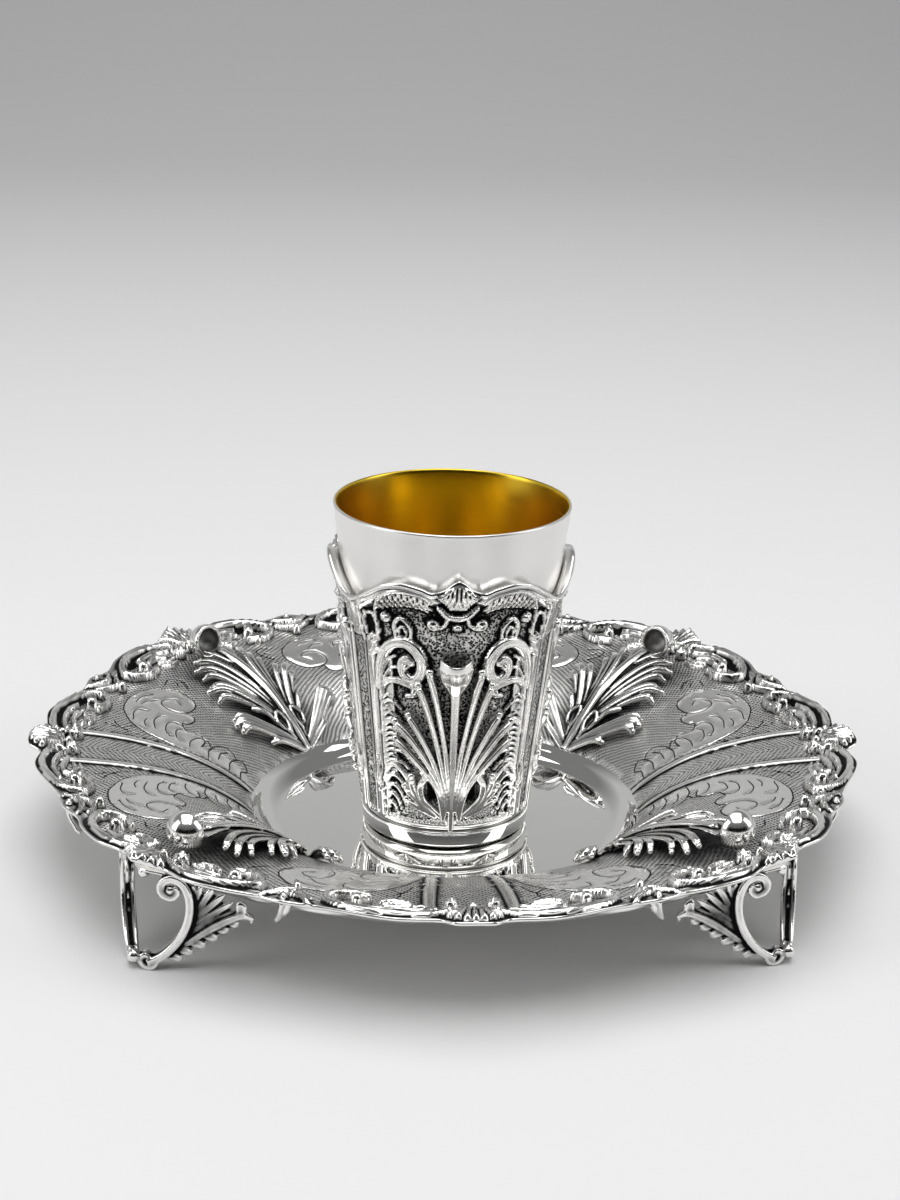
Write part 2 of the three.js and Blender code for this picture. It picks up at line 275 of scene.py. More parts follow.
@dataclass
class Clay:
    """Vertices and faces that grow into one mesh.

    Attributes:
        vertices: One array of vertices for each shape.
        faces: The faces of all the shapes.
        count: How many vertices there are so far.
    """

    vertices: list[np.ndarray] = field(default_factory=list)
    faces: list[tuple[int, ...]] = field(default_factory=list)
    count: int = 0

    def add(self, vertices: np.ndarray, faces: Sequence[Sequence[int]]) -> None:
        """Add a closed shape to the others.

        Args:
            vertices: One row for each of its vertices.
            faces: The numbers of each face's vertices, counted in this shape.
        """
        self.faces += [tuple(int(i) + self.count for i in face) for face in faces]
        self.vertices.append(vertices)
        self.count += len(vertices)

    def tube(self, rings: np.ndarray) -> None:
        """Add a closed tube.

        Args:
            rings: The points, with one row of them for each ring.
        """
        steps, sides = rings.shape[:2]
        faces = []
        for i in range(steps - 1):
            for j in range(sides):
                here, there, k = i * sides, (i + 1) * sides, (j + 1) % sides
                faces.append((here + j, here + k, there + k, there + j))
        faces.append(tuple(range(sides - 1, -1, -1)))
        faces.append(tuple((steps - 1) * sides + j for j in range(sides)))
        self.add(rings.reshape(-1, 3), faces)

    def finger(
        self,
        path: Sequence[Sequence[float]],
        width: Pair,
        thickness: float,
        flute: float = 0.35,
        tip: float = 1.0,
    ) -> None:
        """Add a long rounded finger with a hollow along its back.

        Args:
            path: The points that it follows, in the leaf's flat layout and height.
            width: Its full width at the start and near the tip.
            thickness: How high its back stands over its path.
            flute: How deep the hollow is, as a share of the thickness.
            tip: How many times its thickness it gains at the tip.
        """
        line = smooth_line(path, 0.9)
        along = directions(line)
        side = np.cross(along, (0.0, 0.0, 1.0))
        side /= np.linalg.norm(side, axis=1)[:, None] + 1e-9
        up = np.cross(side, along)
        t = np.linspace(0, 1, len(line))
        span = np.linspace(0, len(line) - 1, len(line)) * 0.9
        blunt = np.sqrt(np.clip(1 - (1 - np.clip((span[-1] - span) / 1.4, 0, 1)) ** 2, 0.02, 1))
        half = (width[0] + (width[1] - width[0]) * t) / 2 * blunt
        back = thickness * (0.7 + 0.3 * t) * (1 + (tip - 1) * t**4) * blunt
        angle = np.linspace(0, 2 * np.pi, 14, endpoint=False)
        across, rise = np.cos(angle), np.sin(angle)
        rise = np.where(rise > 0, rise * (1 - flute * np.exp(-((across / 0.42) ** 2))), rise * 0.6)
        self.tube(
            line[:, None]
            + side[:, None] * (half[:, None] * across)[..., None]
            + up[:, None] * (back[:, None] * rise)[..., None]
        )

    def frond(self, path: Sequence[Pair], width: Pair, rise: float, droop: float) -> None:
        """Add a finger that arches over the ground and curls down at its tip.

        Args:
            path: The points that it follows, seen from above.
            width: Its full width at the start and near the tip.
            rise: How high it stands over the ground at its highest.
            droop: How far its tip comes down again.
        """
        t = np.linspace(0, 1, len(path))
        height = 0.5 + rise * np.sin(t * 1.9) - droop * t**6
        self.finger([(x, y, z) for (x, y), z in zip(path, height)], width, 1.2, 0.45, 1.3)
        self.ball((*path[-1], height[-1]), width[1] * 0.42)

    def shell(
        self,
        path: Sequence[Sequence[float]],
        width: Sequence[float],
        cup: float,
        thickness: float,
        bow: float = 0.0,
    ) -> None:
        """Add a hollowed blade, such as a hood, that bends across its width.

        Args:
            path: The points that its middle follows.
            width: Its full width at even steps along the path.
            cup: How far its sides bend back from its middle.
            thickness: The thickness of its wall.
            bow: How far its sides run past its middle at the tip.
        """
        line = smooth_line(path, 0.7)
        along = directions(line)
        side = np.tile((0.0, 1.0, 0.0), (len(line), 1))
        out = np.cross(along, side)
        t = np.linspace(0, 1, len(line))
        half = np.interp(t, np.linspace(0, 1, len(width)), width) / 2
        across = np.linspace(-1, 1, 15)
        middle = (
            line[:, None]
            + side[:, None] * (half[:, None] * across)[..., None]
            - out[:, None] * ((cup * half / half.max())[:, None] * across**2)[..., None]
            + along[:, None] * ((bow * t**3)[:, None] * across**2)[..., None]
        )
        wall = out[:, None] * (thickness / 2 * np.sqrt(1.05 - across**2))[None, :, None]
        self.tube(np.concatenate([middle + wall, (middle - wall)[:, ::-1]], axis=1))

    def bowl(self, centre: Sequence[float], radius: float, wall: float, tilt: float, open_at: float) -> None:
        """Add a round bowl whose closed end faces along the layout's first length.

        Args:
            centre: The middle of its round outside.
            radius: Its outer radius.
            wall: The thickness of its wall.
            tilt: How far its closed end dips below level, in degrees.
            open_at: How far round from its closed end its wall runs, in degrees.
        """
        axis = np.array((math.cos(math.radians(tilt)), 0.0, -math.sin(math.radians(tilt))))
        up = np.cross(axis, (0.0, 1.0, 0.0))
        turn = np.linspace(0, 2 * np.pi, 40, endpoint=False)[:, None]
        around = np.cos(turn) * up + np.sin(turn) * np.array((0.0, 1.0, 0.0))
        polar = np.radians(np.linspace(4, open_at, 16))
        outside = [radius * (math.cos(p) * axis + math.sin(p) * around) for p in polar]
        inside = [(radius - wall) * (math.cos(p) * axis + math.sin(p) * around) for p in polar[::-1]]
        self.tube(np.asarray(centre) + np.stack(outside + inside))

    def ball(self, centre: Sequence[float], radius: float) -> None:
        """Add a ball.

        Args:
            centre: Its middle.
            radius: Its radius.
        """
        polar = np.linspace(0.12, math.pi - 0.12, 9)
        turn = np.linspace(0, 2 * np.pi, 14, endpoint=False)
        around = np.column_stack([np.cos(turn), np.sin(turn), np.zeros(len(turn))])
        rings = np.stack([np.sin(p) * around - (0, 0, np.cos(p)) for p in polar])
        self.tube(np.asarray(centre) + radius * rings)

    def mirrored(self) -> None:
        """Add the other half of everything so far, across the plane where the second length is 0."""
        flipped = [v * (1, -1, 1) for v in self.vertices]
        faces = [tuple(i + self.count for i in face[::-1]) for face in self.faces]
        self.vertices += flipped
        self.faces += faces
        self.count *= 2

    def made(self, name: str, place: Place | None = None) -> bpy.types.Object:
        """Turn the clay into an object.

        Args:
            name: The object's name.
            place: Where each point goes, if it doesn't stay.

        Returns:
            The new object, at the origin.
        """
        points = np.vstack(self.vertices)
        return new_object(name, points if place is None else place(points), self.faces)


def new_object(name: str, points: np.ndarray, faces: Sequence[Sequence[int]]) -> bpy.types.Object:
    """Object from points in millimetres and the faces between them.

    Args:
        name: The object's name.
        points: One row for each vertex.
        faces: The numbers of each face's vertices.

    Returns:
        The new object, linked to the scene.
    """
    mesh = bpy.data.meshes.new(name)
    mesh.from_pydata((points * MM).tolist(), [], [tuple(int(i) for i in face) for face in faces])
    mesh.update()
    item = bpy.data.objects.new(name, mesh)
    bpy.context.collection.objects.link(item)
    return item


def only(item: bpy.types.Object) -> None:
    """Select one object and nothing else.

    Args:
        item: The object.
    """
    bpy.ops.object.select_all(action="DESELECT")
    item.select_set(True)
    bpy.context.view_layer.objects.active = item


def tidied(item: bpy.types.Object, gap: float = 0.002) -> None:
    """Merge vertices closer than a gap in millimetres and point the faces outwards.

    Args:
        item: The object.
        gap: The gap.
    """
    only(item)
    bpy.ops.object.mode_set(mode="EDIT")
    bpy.ops.mesh.select_all(action="SELECT")
    bpy.ops.mesh.remove_doubles(threshold=gap * MM)
    bpy.ops.mesh.normals_make_consistent(inside=False)
    bpy.ops.object.mode_set(mode="OBJECT")


def fused(item: bpy.types.Object, voxel: float, rounds: int = 1) -> None:
    """Fuse overlapping shapes into one solid, as they come out of the mould.

    Args:
        item: The object.
        voxel: The finest detail that is kept, in millimetres.
        rounds: How often the skin is eased afterwards.
    """
    tidied(item)
    remesh = item.modifiers.new("fuse", "REMESH")
    remesh.mode = "VOXEL"
    remesh.voxel_size = voxel * MM
    remesh.adaptivity = 0.0
    bpy.ops.object.modifier_apply(modifier=remesh.name)
    ease = item.modifiers.new("ease", "SMOOTH")
    ease.factor = 0.5
    ease.iterations = rounds
    bpy.ops.object.modifier_apply(modifier=ease.name)


def store(item: bpy.types.Object, name: str, values: np.ndarray) -> None:
    """Keep one number for each vertex under a name that materials can read."""
    layer = item.data.attributes.new(name, "FLOAT", "POINT")
    layer.data.foreach_set("value", np.asarray(values, np.float32))


def places(item: bpy.types.Object) -> np.ndarray:
    """The vertices of an object in millimetres.

    Args:
        item: The object.

    Returns:
        One row for each vertex.
    """
    flat = np.empty(len(item.data.vertices) * 3)
    item.data.vertices.foreach_get("co", flat)
    return flat.reshape(-1, 3) / MM


def facings(item: bpy.types.Object) -> np.ndarray:
    """The directions that the vertices of an object face.

    Args:
        item: The object.

    Returns:
        One unit vector for each vertex.
    """
    flat = np.empty(len(item.data.vertices) * 3)
    item.data.vertex_normals.foreach_get("vector", flat)
    return flat.reshape(-1, 3)


def depth_in_form(item: bpy.types.Object, rounds: int) -> np.ndarray:
    """How far each vertex lies under its eased surroundings.

    Args:
        item: The object.
        rounds: How often the surroundings are eased, which sets how wide a hollow counts.

    Returns:
        One depth in millimetres for each vertex, over 0 in a hollow.
    """
    points = places(item)
    count = len(points)
    edges = np.empty(len(item.data.edges) * 2, int)
    item.data.edges.foreach_get("vertices", edges)
    a, b = edges.reshape(-1, 2).T
    shared = np.maximum(np.bincount(edges, minlength=count), 1)
    eased = points.copy()
    for _ in range(rounds):
        total = [
            np.bincount(a, eased[b, k], count) + np.bincount(b, eased[a, k], count) for k in range(3)
        ]
        eased = 0.4 * eased + 0.6 * np.column_stack(total) / shared[:, None]
    return ((eased - points) * facings(item)).sum(1)


def set_recess(item: bpy.types.Object, fine: float, wide: float, lift: float = 0.0) -> None:
    """Store how dark each vertex of a piece has gone with age, from 0 on its crests to 1 in hollows.

    Args:
        item: The object.
        fine: The depth in millimetres at which a narrow groove is quite dark.
        wide: The depth in millimetres at which a broad hollow is quite dark.
        lift: Darkness that flat ground has already.
    """
    dark = lift + depth_in_form(item, 6) / fine + depth_in_form(item, 60) / wide
    store(item, "oxide_and_shade", np.clip(dark, 0, 1))


def kept(item: bpy.types.Object, name: str) -> np.ndarray:
    """The numbers that a piece keeps under a name, one for each vertex.

    Args:
        item: The piece.
        name: The name.

    Returns:
        The numbers.
    """
    values = np.empty(len(item.data.vertices), np.float32)
    item.data.attributes[name].data.foreach_get("value", values)
    return values


def amend(item: bpy.types.Object, name: str, share: np.ndarray, value: float) -> None:
    """Move what a piece keeps under a name towards a value, by a share for each vertex.

    Args:
        item: The piece.
        name: The name.
        share: How far each vertex goes, from 0 to 1.
        value: The value.
    """
    values = kept(item, name)
    values += (value - values) * np.asarray(share, np.float32)
    item.data.attributes[name].data.foreach_set("value", values)


def darken(item: bpy.types.Object) -> None:
    """Add the painted shade stored on a piece to its stored oxide, and keep its bare parts bright."""
    dark = np.clip(kept(item, "oxide_and_shade") + kept(item, "shade"), 0, 1) * (1 - kept(item, "bare"))
    item.data.attributes["oxide_and_shade"].data.foreach_set("value", dark)


def smooth_shaded(item: bpy.types.Object, angle: float = 180.0) -> None:
    """Shade an object smoothly, except where its faces meet at more than an angle in degrees.

    Args:
        item: The object.
        angle: The angle, 180 for no sharp edges at all.
    """
    only(item)
    if angle < 180:
        bpy.ops.object.shade_smooth_by_angle(angle=math.radians(angle))
    else:
        bpy.ops.object.shade_smooth()


def dressed(item: bpy.types.Object, slot: str, cad: str, *finishes: bpy.types.Material) -> None:
    """Give a finished piece its materials and its body, and hide the CAD node that it replaces.

    Args:
        item: The piece.
        slot: Not used.
        cad: The name of its CAD node.
        *finishes: Its materials, in the order of its faces' numbers.
    """
    for finish in finishes:
        item.data.materials.append(finish)
    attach(item, "root")
    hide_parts(cad)
    log.info("%s: %d faces", item.name, len(item.data.polygons))


def turned_copy(item: bpy.types.Object, name: str, degrees: float) -> bpy.types.Object:
    """Copy of a piece with a mesh of its own, turned about the middle of the set.

    Args:
        item: The piece.
        name: The copy's name.
        degrees: How far it is turned, anticlockwise from above.

    Returns:
        The copy.
    """
    copy = item.copy()
    copy.data = item.data.copy()
    copy.name = name
    copy.data.transform(Matrix.Rotation(math.radians(degrees), 4, "Z"))
    bpy.context.collection.objects.link(copy)
    return copy


def on_diagonals(first: bpy.types.Object, stem: str, finish: bpy.types.Material) -> None:
    """Copy a piece of the saucer onto all four diagonals and finish the four.

    Args:
        first: The piece, laid out along +X.
        stem: Its name without its number, as its CAD node has it after "saucer_".
        finish: Its material.
    """
    items = [first] + [turned_copy(first, f"{stem}_{n + 1}", 90 * n) for n in range(1, 4)]
    for n, item in enumerate(items):
        item.data.transform(Matrix.Rotation(math.radians(FRONT_LEFT), 4, "Z"))
        dressed(item, "polished_silver", f"saucer_{stem}_{n + 1}", finish)


def border_top(radius: np.ndarray) -> np.ndarray:
    """Height of the saucer's upper side at a radius outside its wall."""
    return WALL_TOP + BORDER_RISE * (1 - np.exp((WALL_RADIUS - radius) / BORDER_EASE))


def beaker_radius(z: np.ndarray) -> np.ndarray:
    """Outer radius of the beaker at a height."""
    share = np.clip((np.asarray(z, float) - CUP_BASE) / (CUP_TOP - CUP_BASE), 0, 1)
    return BEAKER_BASE_RADIUS + (BEAKER_RIM_RADIUS - BEAKER_BASE_RADIUS) * share**BEAKER_FLARE


# --- Finishes -------------------------------------------------------------------------------


def linear(colour: int) -> tuple[float, float, float, float]:
    """An sRGB colour, given as a hex number, in linear light."""
    parts = [(colour >> shift & 255) / 255 for shift in (16, 8, 0)]
    return (*(p / 12.92 if p <= 0.04045 else ((p + 0.055) / 1.055) ** 2.4 for p in parts), 1.0)


def node(
    tree: bpy.types.NodeTree, kind: str, inputs: dict[str | int, object] | None = None, **settings: object
) -> bpy.types.Node:
    """Add a shader node.

    Args:
        tree: The material's tree.
        kind: The node's type.
        inputs: A value or another node's output for each input, by its name or number.
        **settings: The node's own properties.

    Returns:
        The new node.
    """
    made = tree.nodes.new(kind)
    for name, value in settings.items():
        setattr(made, name, value)
    for name, value in (inputs or {}).items():
        if isinstance(value, bpy.types.NodeSocket):
            tree.links.new(value, made.inputs[name])
        else:
            made.inputs[name].default_value = value
    return made


class Ground(Enum):
    """How the ground between the ornament is worked."""

    NONE = 0
    HATCHED = 1
    STIPPLED = 2


@dataclass(frozen=True)
class Silver:
    """Sterling silver, dark where age has left its oxide in the hollows and where shade is painted on.

    Attributes:
        name: What a silversmith would call the finish.
        bright: Colour of the clean metal.
        oxide_and_shade_colour: Colour of the oxide in the hollows, also used for painted shade.
        roughness: Roughness of the clean metal.
        ground: How the ground is worked.
        grain: Size in millimetres of the marks that the ground's punches leave.
        swirl: How strongly the fine polishing marks show.
        blotch: How unevenly the oxide lies.
    """

    name: str
    bright: int = 0xF4F3F1
    oxide_and_shade_colour: int = 0x1B1A1A
    roughness: float = 0.16
    ground: Ground = Ground.NONE
    grain: float = 0.75
    swirl: float = 0.05
    blotch: float = 0.3

    def made(self) -> bpy.types.Material:
        """The material.

        Returns:
            The finished material.
        """
        material = bpy.data.materials.new(self.name)
        material.use_nodes = True
        tree = material.node_tree
        tree.nodes.clear()
        space = node(tree, "ShaderNodeTexCoord").outputs["Object"]
        # The stored darkness is oxide in the hollows, with painted shade added on the dish, the sleeve and
        # the saucer's leaf hoods.
        oxide_and_shade = node(tree, "ShaderNodeAttribute", attribute_name="oxide_and_shade").outputs["Fac"]
        # Oxide, and the shade painted with it, lie unevenly, so their edge is broken up by a blotchy pattern
        # about 3 mm across.
        blotch = node(tree, "ShaderNodeTexNoise", {"Vector": space, "Scale": 1 / (3 * MM), "Detail": 4.0})
        uneven = node(
            tree,
            "ShaderNodeMath",
            {0: blotch.outputs["Fac"], 1: self.blotch, 2: -self.blotch / 2},
            operation="MULTIPLY_ADD",
        )
        oxide_shade_and_marks = node(tree, "ShaderNodeMath", {0: oxide_and_shade, 1: uneven.outputs[0]}, operation="ADD").outputs[0]
        height, marks = self.worked(tree, space)
        if marks is not None:
            oxide_shade_and_marks = node(tree, "ShaderNodeMath", {0: oxide_shade_and_marks, 1: marks}, operation="ADD").outputs[0]
        dark = node(
            tree, "ShaderNodeMapRange", {"Value": oxide_shade_and_marks, "From Min": 0.12, "From Max": 0.7}
        ).outputs["Result"]
        colour = node(
            tree,
            "ShaderNodeMix",
            {0: dark, 6: linear(self.bright), 7: linear(self.oxide_and_shade_colour)},
            data_type="RGBA",
        )
        rough = node(
            tree,
            "ShaderNodeMapRange",
            {"Value": dark, "To Min": self.roughness, "To Max": 0.6},
        )
        bump = node(
            tree, "ShaderNodeBump", {"Height": height, "Strength": 1.0, "Distance": 0.12 * MM}
        )
        shader = node(
            tree,
            "ShaderNodeBsdfPrincipled",
            {
                "Base Color": colour.outputs[2],
                "Metallic": 1.0,
                "Roughness": rough.outputs["Result"],
                "Normal": bump.outputs["Normal"],
            },
        )
        node(tree, "ShaderNodeOutputMaterial", {"Surface": shader.outputs[0]})
        return material

    def worked(
        self, tree: bpy.types.NodeTree, space: bpy.types.NodeSocket
    ) -> tuple[bpy.types.NodeSocket, bpy.types.NodeSocket | None]:
        """The fine marks that punches and polishing leave.

        Args:
            tree: The material's tree.
            space: The object's own coordinates.

        Returns:
            A height for the bump, and how dark the marks are where the ground is worked.
        """
        swirl = node(
            tree, "ShaderNodeTexNoise", {"Vector": space, "Scale": 1 / (0.9 * MM), "Detail": 3.0}
        ).outputs["Fac"]
        fine = node(tree, "ShaderNodeMath", {0: swirl, 1: self.swirl}, operation="MULTIPLY").outputs[0]
        if self.ground is Ground.NONE:
            return fine, None
        mask = node(tree, "ShaderNodeAttribute", attribute_name="ground").outputs["Fac"]
        flat = node(tree, "ShaderNodeUVMap", uv_map="layout").outputs["UV"]
        if self.ground is Ground.STIPPLED:
            cells = node(
                tree,
                "ShaderNodeTexVoronoi",
                {"Vector": flat, "Scale": 1 / (self.grain * MM), "Randomness": 0.85},
            ).outputs["Distance"]
            pits = node(
                tree, "ShaderNodeMapRange", {"Value": cells, "From Min": 0.62, "From Max": 0.34}
            ).outputs["Result"]
        else:
            pits = self.hatching(tree, flat)
        worked = node(tree, "ShaderNodeMath", {0: pits, 1: mask}, operation="MULTIPLY").outputs[0]
        height = node(
            tree, "ShaderNodeMath", {0: worked, 1: -1.0, 2: fine}, operation="MULTIPLY_ADD"
        ).outputs[0]
        marks = node(tree, "ShaderNodeMath", {0: worked, 1: 0.5}, operation="MULTIPLY").outputs[0]
        return height, marks

    def hatching(self, tree: bpy.types.NodeTree, flat: bpy.types.NodeSocket) -> bpy.types.NodeSocket:
        """Rows of short strokes, broken by a second set that crosses them.

        Args:
            tree: The material's tree.
            flat: The layout in which the rows run.

        Returns:
            1 in the strokes and 0 between them.
        """
        sets = []
        for turn, stretch in ((0.5, 1.0), (-1.0, 0.7)):
            slanted = node(tree, "ShaderNodeMapping", {"Vector": flat, "Rotation": (0.0, 0.0, turn)})
            lines = node(
                tree,
                "ShaderNodeTexWave",
                {
                    "Vector": slanted.outputs[0],
                    # A wave repeats each 2 pi / 20 of its space, so this makes about a line per grain.
                    "Scale": stretch * 0.314 / (self.grain * MM),
                    "Distortion": 3.4,
                    "Detail": 2.0,
                    "Detail Scale": 1.1,
                },
            )
            sets.append(lines.outputs["Fac"])
        both = node(tree, "ShaderNodeMath", {0: sets[0], 1: sets[1]}, operation="MULTIPLY").outputs[0]
        return node(
            tree, "ShaderNodeMapRange", {"Value": both, "From Min": 0.12, "From Max": 0.5}
        ).outputs["Result"]


@dataclass(frozen=True)
class Sheen:
    """Plain metal with no recesses, such as the satin lip or the gilt inside.

    Attributes:
        name: What a silversmith would call the finish.
        colour: Colour of the metal.
        deep: Colour that it drifts to in broad clouds.
        roughness: Roughness of the metal.
        grain: Fineness of the brushing in millimetres: its strokes are 1.4 times as wide as this and
            20 times as long.
        bite: Depth of the brushing.
    """

    name: str
    colour: int
    deep: int
    roughness: float
    grain: float = 0.5
    bite: float = 0.3

    def made(self) -> bpy.types.Material:
        """The material.

        Returns:
            The finished material.
        """
        material = bpy.data.materials.new(self.name)
        material.use_nodes = True
        tree = material.node_tree
        tree.nodes.clear()
        space = node(tree, "ShaderNodeTexCoord").outputs["Object"]
        drawn = node(tree, "ShaderNodeMapping", {"Vector": space, "Scale": (1.0, 1.0, 14.0)})
        brush = node(
            tree,
            "ShaderNodeTexNoise",
            {"Vector": drawn.outputs[0], "Scale": 0.05 / (self.grain * MM), "Detail": 6.0},
        ).outputs["Fac"]
        cloud = node(
            tree, "ShaderNodeTexNoise", {"Vector": space, "Scale": 1 / (14 * MM), "Detail": 2.0}
        ).outputs["Fac"]
        colour = node(
            tree,
            "ShaderNodeMix",
            {0: cloud, 6: linear(self.colour), 7: linear(self.deep)},
            data_type="RGBA",
        )
        rough = node(
            tree,
            "ShaderNodeMapRange",
            {"Value": brush, "To Min": self.roughness * 0.8, "To Max": self.roughness * 1.2},
        )
        bump = node(
            tree, "ShaderNodeBump", {"Height": brush, "Strength": self.bite, "Distance": 0.05 * MM}
        )
        shader = node(
            tree,
            "ShaderNodeBsdfPrincipled",
            {
                "Base Color": colour.outputs[2],
                "Metallic": 1.0,
                "Roughness": rough.outputs["Result"],
                "Normal": bump.outputs["Normal"],
            },
        )
        node(tree, "ShaderNodeOutputMaterial", {"Surface": shader.outputs[0]})
        return material


@dataclass(frozen=True)
class Finishes:
    """The metals of the whole set.

    Attributes:
        chased_dish: The dish's worked border.
        chased_cup: The sleeve.
        cast: Rim, leaves and feet.
        mirror: The well and the cup's foot ring.
        satin: The outside of the beaker.
        gilt: The inside of the beaker.
        under: The underside of the dish.
    """

    chased_dish: bpy.types.Material
    chased_cup: bpy.types.Material
    cast: bpy.types.Material
    mirror: bpy.types.Material
    satin: bpy.types.Material
    gilt: bpy.types.Material
    under: bpy.types.Material


def all_finishes() -> Finishes:
    """Make every finish once.

    Returns:
        The finishes of the whole set.
    """
    # Crossed rows of fine strokes, which turn the border a soft grey against its plain scrolls.
    hatched = Silver("chased silver, hatched", ground=Ground.HATCHED, roughness=0.24, grain=0.8)
    # Small round pits, nearly black, which set off the bright scrolls of the cup.
    stippled = Silver("chased silver, stippled", ground=Ground.STIPPLED, grain=0.55, blotch=0.12)
    # Bright wherever a polishing wheel reaches, with faint marks of the mould, and dark between.
    cast = Silver("cast silver, bright on its crests", roughness=0.14, swirl=0.12)
    # A clear mirror, which shows the cup's foot and the room in the well.
    mirror = Sheen("mirror polished silver", 0xF2F1EF, 0xECECEA, 0.035, bite=0.02)
    # A fine brushing round the lip, which spreads the light to an even white.
    satin = Sheen("satin silver", 0xF1F0EE, 0xE6E5E3, 0.3, bite=0.5)
    # A warm deep yellow with a soft shine, the one colour in the set.
    gilt = Sheen("fire gilt silver", 0xE8CC4A, 0xDDB93A, 0.25, grain=0.8, bite=0.25)
    # A quiet grey sheen on the side that isn't seen.
    under = Sheen("plain silver, soft polished", 0xE9E8E6, 0xDAD9D7, 0.22, bite=0.3)
    made = (finish.made() for finish in (hatched, stippled, cast, mirror, satin, gilt, under))
    return Finishes(*made)


# --- Saucer ---------------------------------------------------------------------------------


@dataclass
class Dish:
    """The raised and chased dish: mirror well, polished wall and engraved border.

    One eighth is laid out flat as a net of points that lie close along every engraved line. Its
    first length runs out along a channel's axis, its second to the side.

    Attributes:
        line_width: Full width of an engraved line.
        line_depth: Depth of an engraved line.
        net: Distance between points where nothing is worked.
        sectors: Sides of the well in one eighth.
        outer_line: The long line round the outside of the plain scroll.
        inner_line: The line along the scroll's inner side.
        strokes: The short strokes in and beside the scroll.
        channel_outer: The line on the far side of the channel's band.
        channel_inner: The line between the channel and its band.
    """

    line_width: float = 0.56
    line_depth: float = 0.17
    net: float = 1.7
    sectors: int = 24
    outer_line: tuple[Pair, ...] = (
        (72, 10.5), (78, 14), (82.4, 19), (84.8, 25.5), (85.2, 29.5), (84.2, 35), (81.5, 39.5),
        (77.9, 42), (73.9, 43), (70, 42), (67, 38.5), (66.4, 35), (68, 31.5), (70.5, 30),
        (73.6, 31), (75.5, 33.7), (74.5, 36.4), (71.8, 37.5), (70.4, 35),
    )
    inner_line: tuple[Pair, ...] = (
        (68.6, 31), (66.6, 29.4), (66.4, 27), (67.8, 25), (69.4, 24.4), (69, 22.5), (68.2, 20.6),
        (66.5, 21), (64.4, 20.4), (63.2, 18), (63.8, 15.2),
    )
    strokes: tuple[tuple[Pair, ...], ...] = (
        ((69, 22.5), (71.3, 24.1), (73.3, 22.1), (73.5, 18.1), (72.4, 15.8)),
        ((69.7, 20.8), (70.8, 19.4), (70.6, 15.8), (69.5, 14)),
        ((73.9, 26.5), (75.7, 25.7), (76.8, 22.5), (76.4, 18.5)),
        ((78.8, 23), (79.3, 20.8), (78.8, 18.5)),
        ((78.8, 27.9), (81.1, 28.3), (82.4, 25.7), (82.2, 21.6)),
        ((76.6, 35.5), (79.3, 34.1), (80.6, 31.9)),
        ((78.4, 38.6), (80.6, 36.8), (82, 33.7)),
        ((67, 12.6), (66.8, 15.6), (65, 18.6), (62.4, 18.8), (61.4, 16)),
        ((62, 10.6), (62, 14), (60.4, 17.8), (58, 19.4), (55.8, 18.6), (54.8, 15.8)),
        ((59.4, 12), (59, 15), (57.6, 17)),
        ((56.4, 9.8), (56.4, 13), (54.8, 16.4), (52.9, 16.8), (52, 14.6)),
        ((53.6, 9.4), (53.4, 12), (52, 13.6)),
        ((68.8, 45.4), (70.2, 48.6), (72.4, 50.4), (74.6, 48.8), (75, 46)),
        ((71.6, 46.4), (72, 48)),
        ((79.5, 12.4), (83, 13.8), (86, 16.6), (87, 19)),
        ((83, 16.6), (85.6, 15.4), (88.8, 16.8)),
    )
    channel_outer: tuple[Pair, ...] = (
        (50.5, 7.5), (60, 8.2), (70, 9.3), (80, 10.3), (90, 11), (100.5, 11.4),
    )
    channel_inner: tuple[Pair, ...] = (
        (50.5, 4.9), (60, 5.4), (74, 6.2), (84, 7.1), (92, 7.7), (100.5, 8),
    )

    def layout(self) -> np.ndarray:
        """Points of one eighth: dense on the lines, sparse between them.

        Returns:
            One row for each point.
        """
        rows = [self.outer_line, self.inner_line, *self.strokes]
        lines = [smooth_line(row, 0.55) for row in rows]
        straight = [smooth_line(row, 1.6) for row in (self.channel_outer, self.channel_inner)]
        half = self.line_width / 2
        points = []
        for line in lines + straight:
            along = directions(line)
            side = np.column_stack([-along[:, 1], along[:, 0]])
            points += [line, line + side * half, line - side * half]
        outer, inner = straight
        middle = (outer + inner[np.linspace(0, len(inner) - 1, len(outer)).astype(int)]) / 2
        points += [middle, middle + (0, 0.55), middle - (0, 0.55)]
        worked = np.vstack(points)
        across = np.arange(WALL_RADIUS, DISH_RADIUS, self.net)
        spread = [
            (r * math.cos(a), r * math.sin(a))
            for i, r in enumerate(across[1:])
            for a in np.radians(np.linspace(0, 45, max(3, int(r * math.pi / 4 / self.net)))[1:-1])
            + (0.35 if i % 2 else -0.35) * self.net / r
        ]
        spread = np.array(spread)
        apart = np.array([np.min(np.abs(worked - p).sum(1)) for p in spread])
        inside = np.vstack([worked, spread[apart > 0.75]])
        radius, angle = np.hypot(*inside.T), np.degrees(np.arctan2(inside[:, 1], inside[:, 0]))
        # Points too close to the sides of the eighth would make slivers with the points on them.
        clear = (radius > WALL_RADIUS + 0.25) & (radius < DISH_RADIUS - 0.3)
        clear &= (angle > 0.25) & (angle < 44.8)
        turn = np.radians(np.linspace(0, 45, self.sectors + 1))
        arcs = [np.column_stack([r * np.cos(turn), r * np.sin(turn)]) for r in (WALL_RADIUS, DISH_RADIUS)]
        rays = np.arange(WALL_RADIUS + 1.25, DISH_RADIUS - 1, 1.25)
        sides = [np.column_stack([rays * math.cos(a), rays * math.sin(a)]) for a in (0.0, math.pi / 4)]
        return np.vstack([inside[clear], *arcs, *sides])

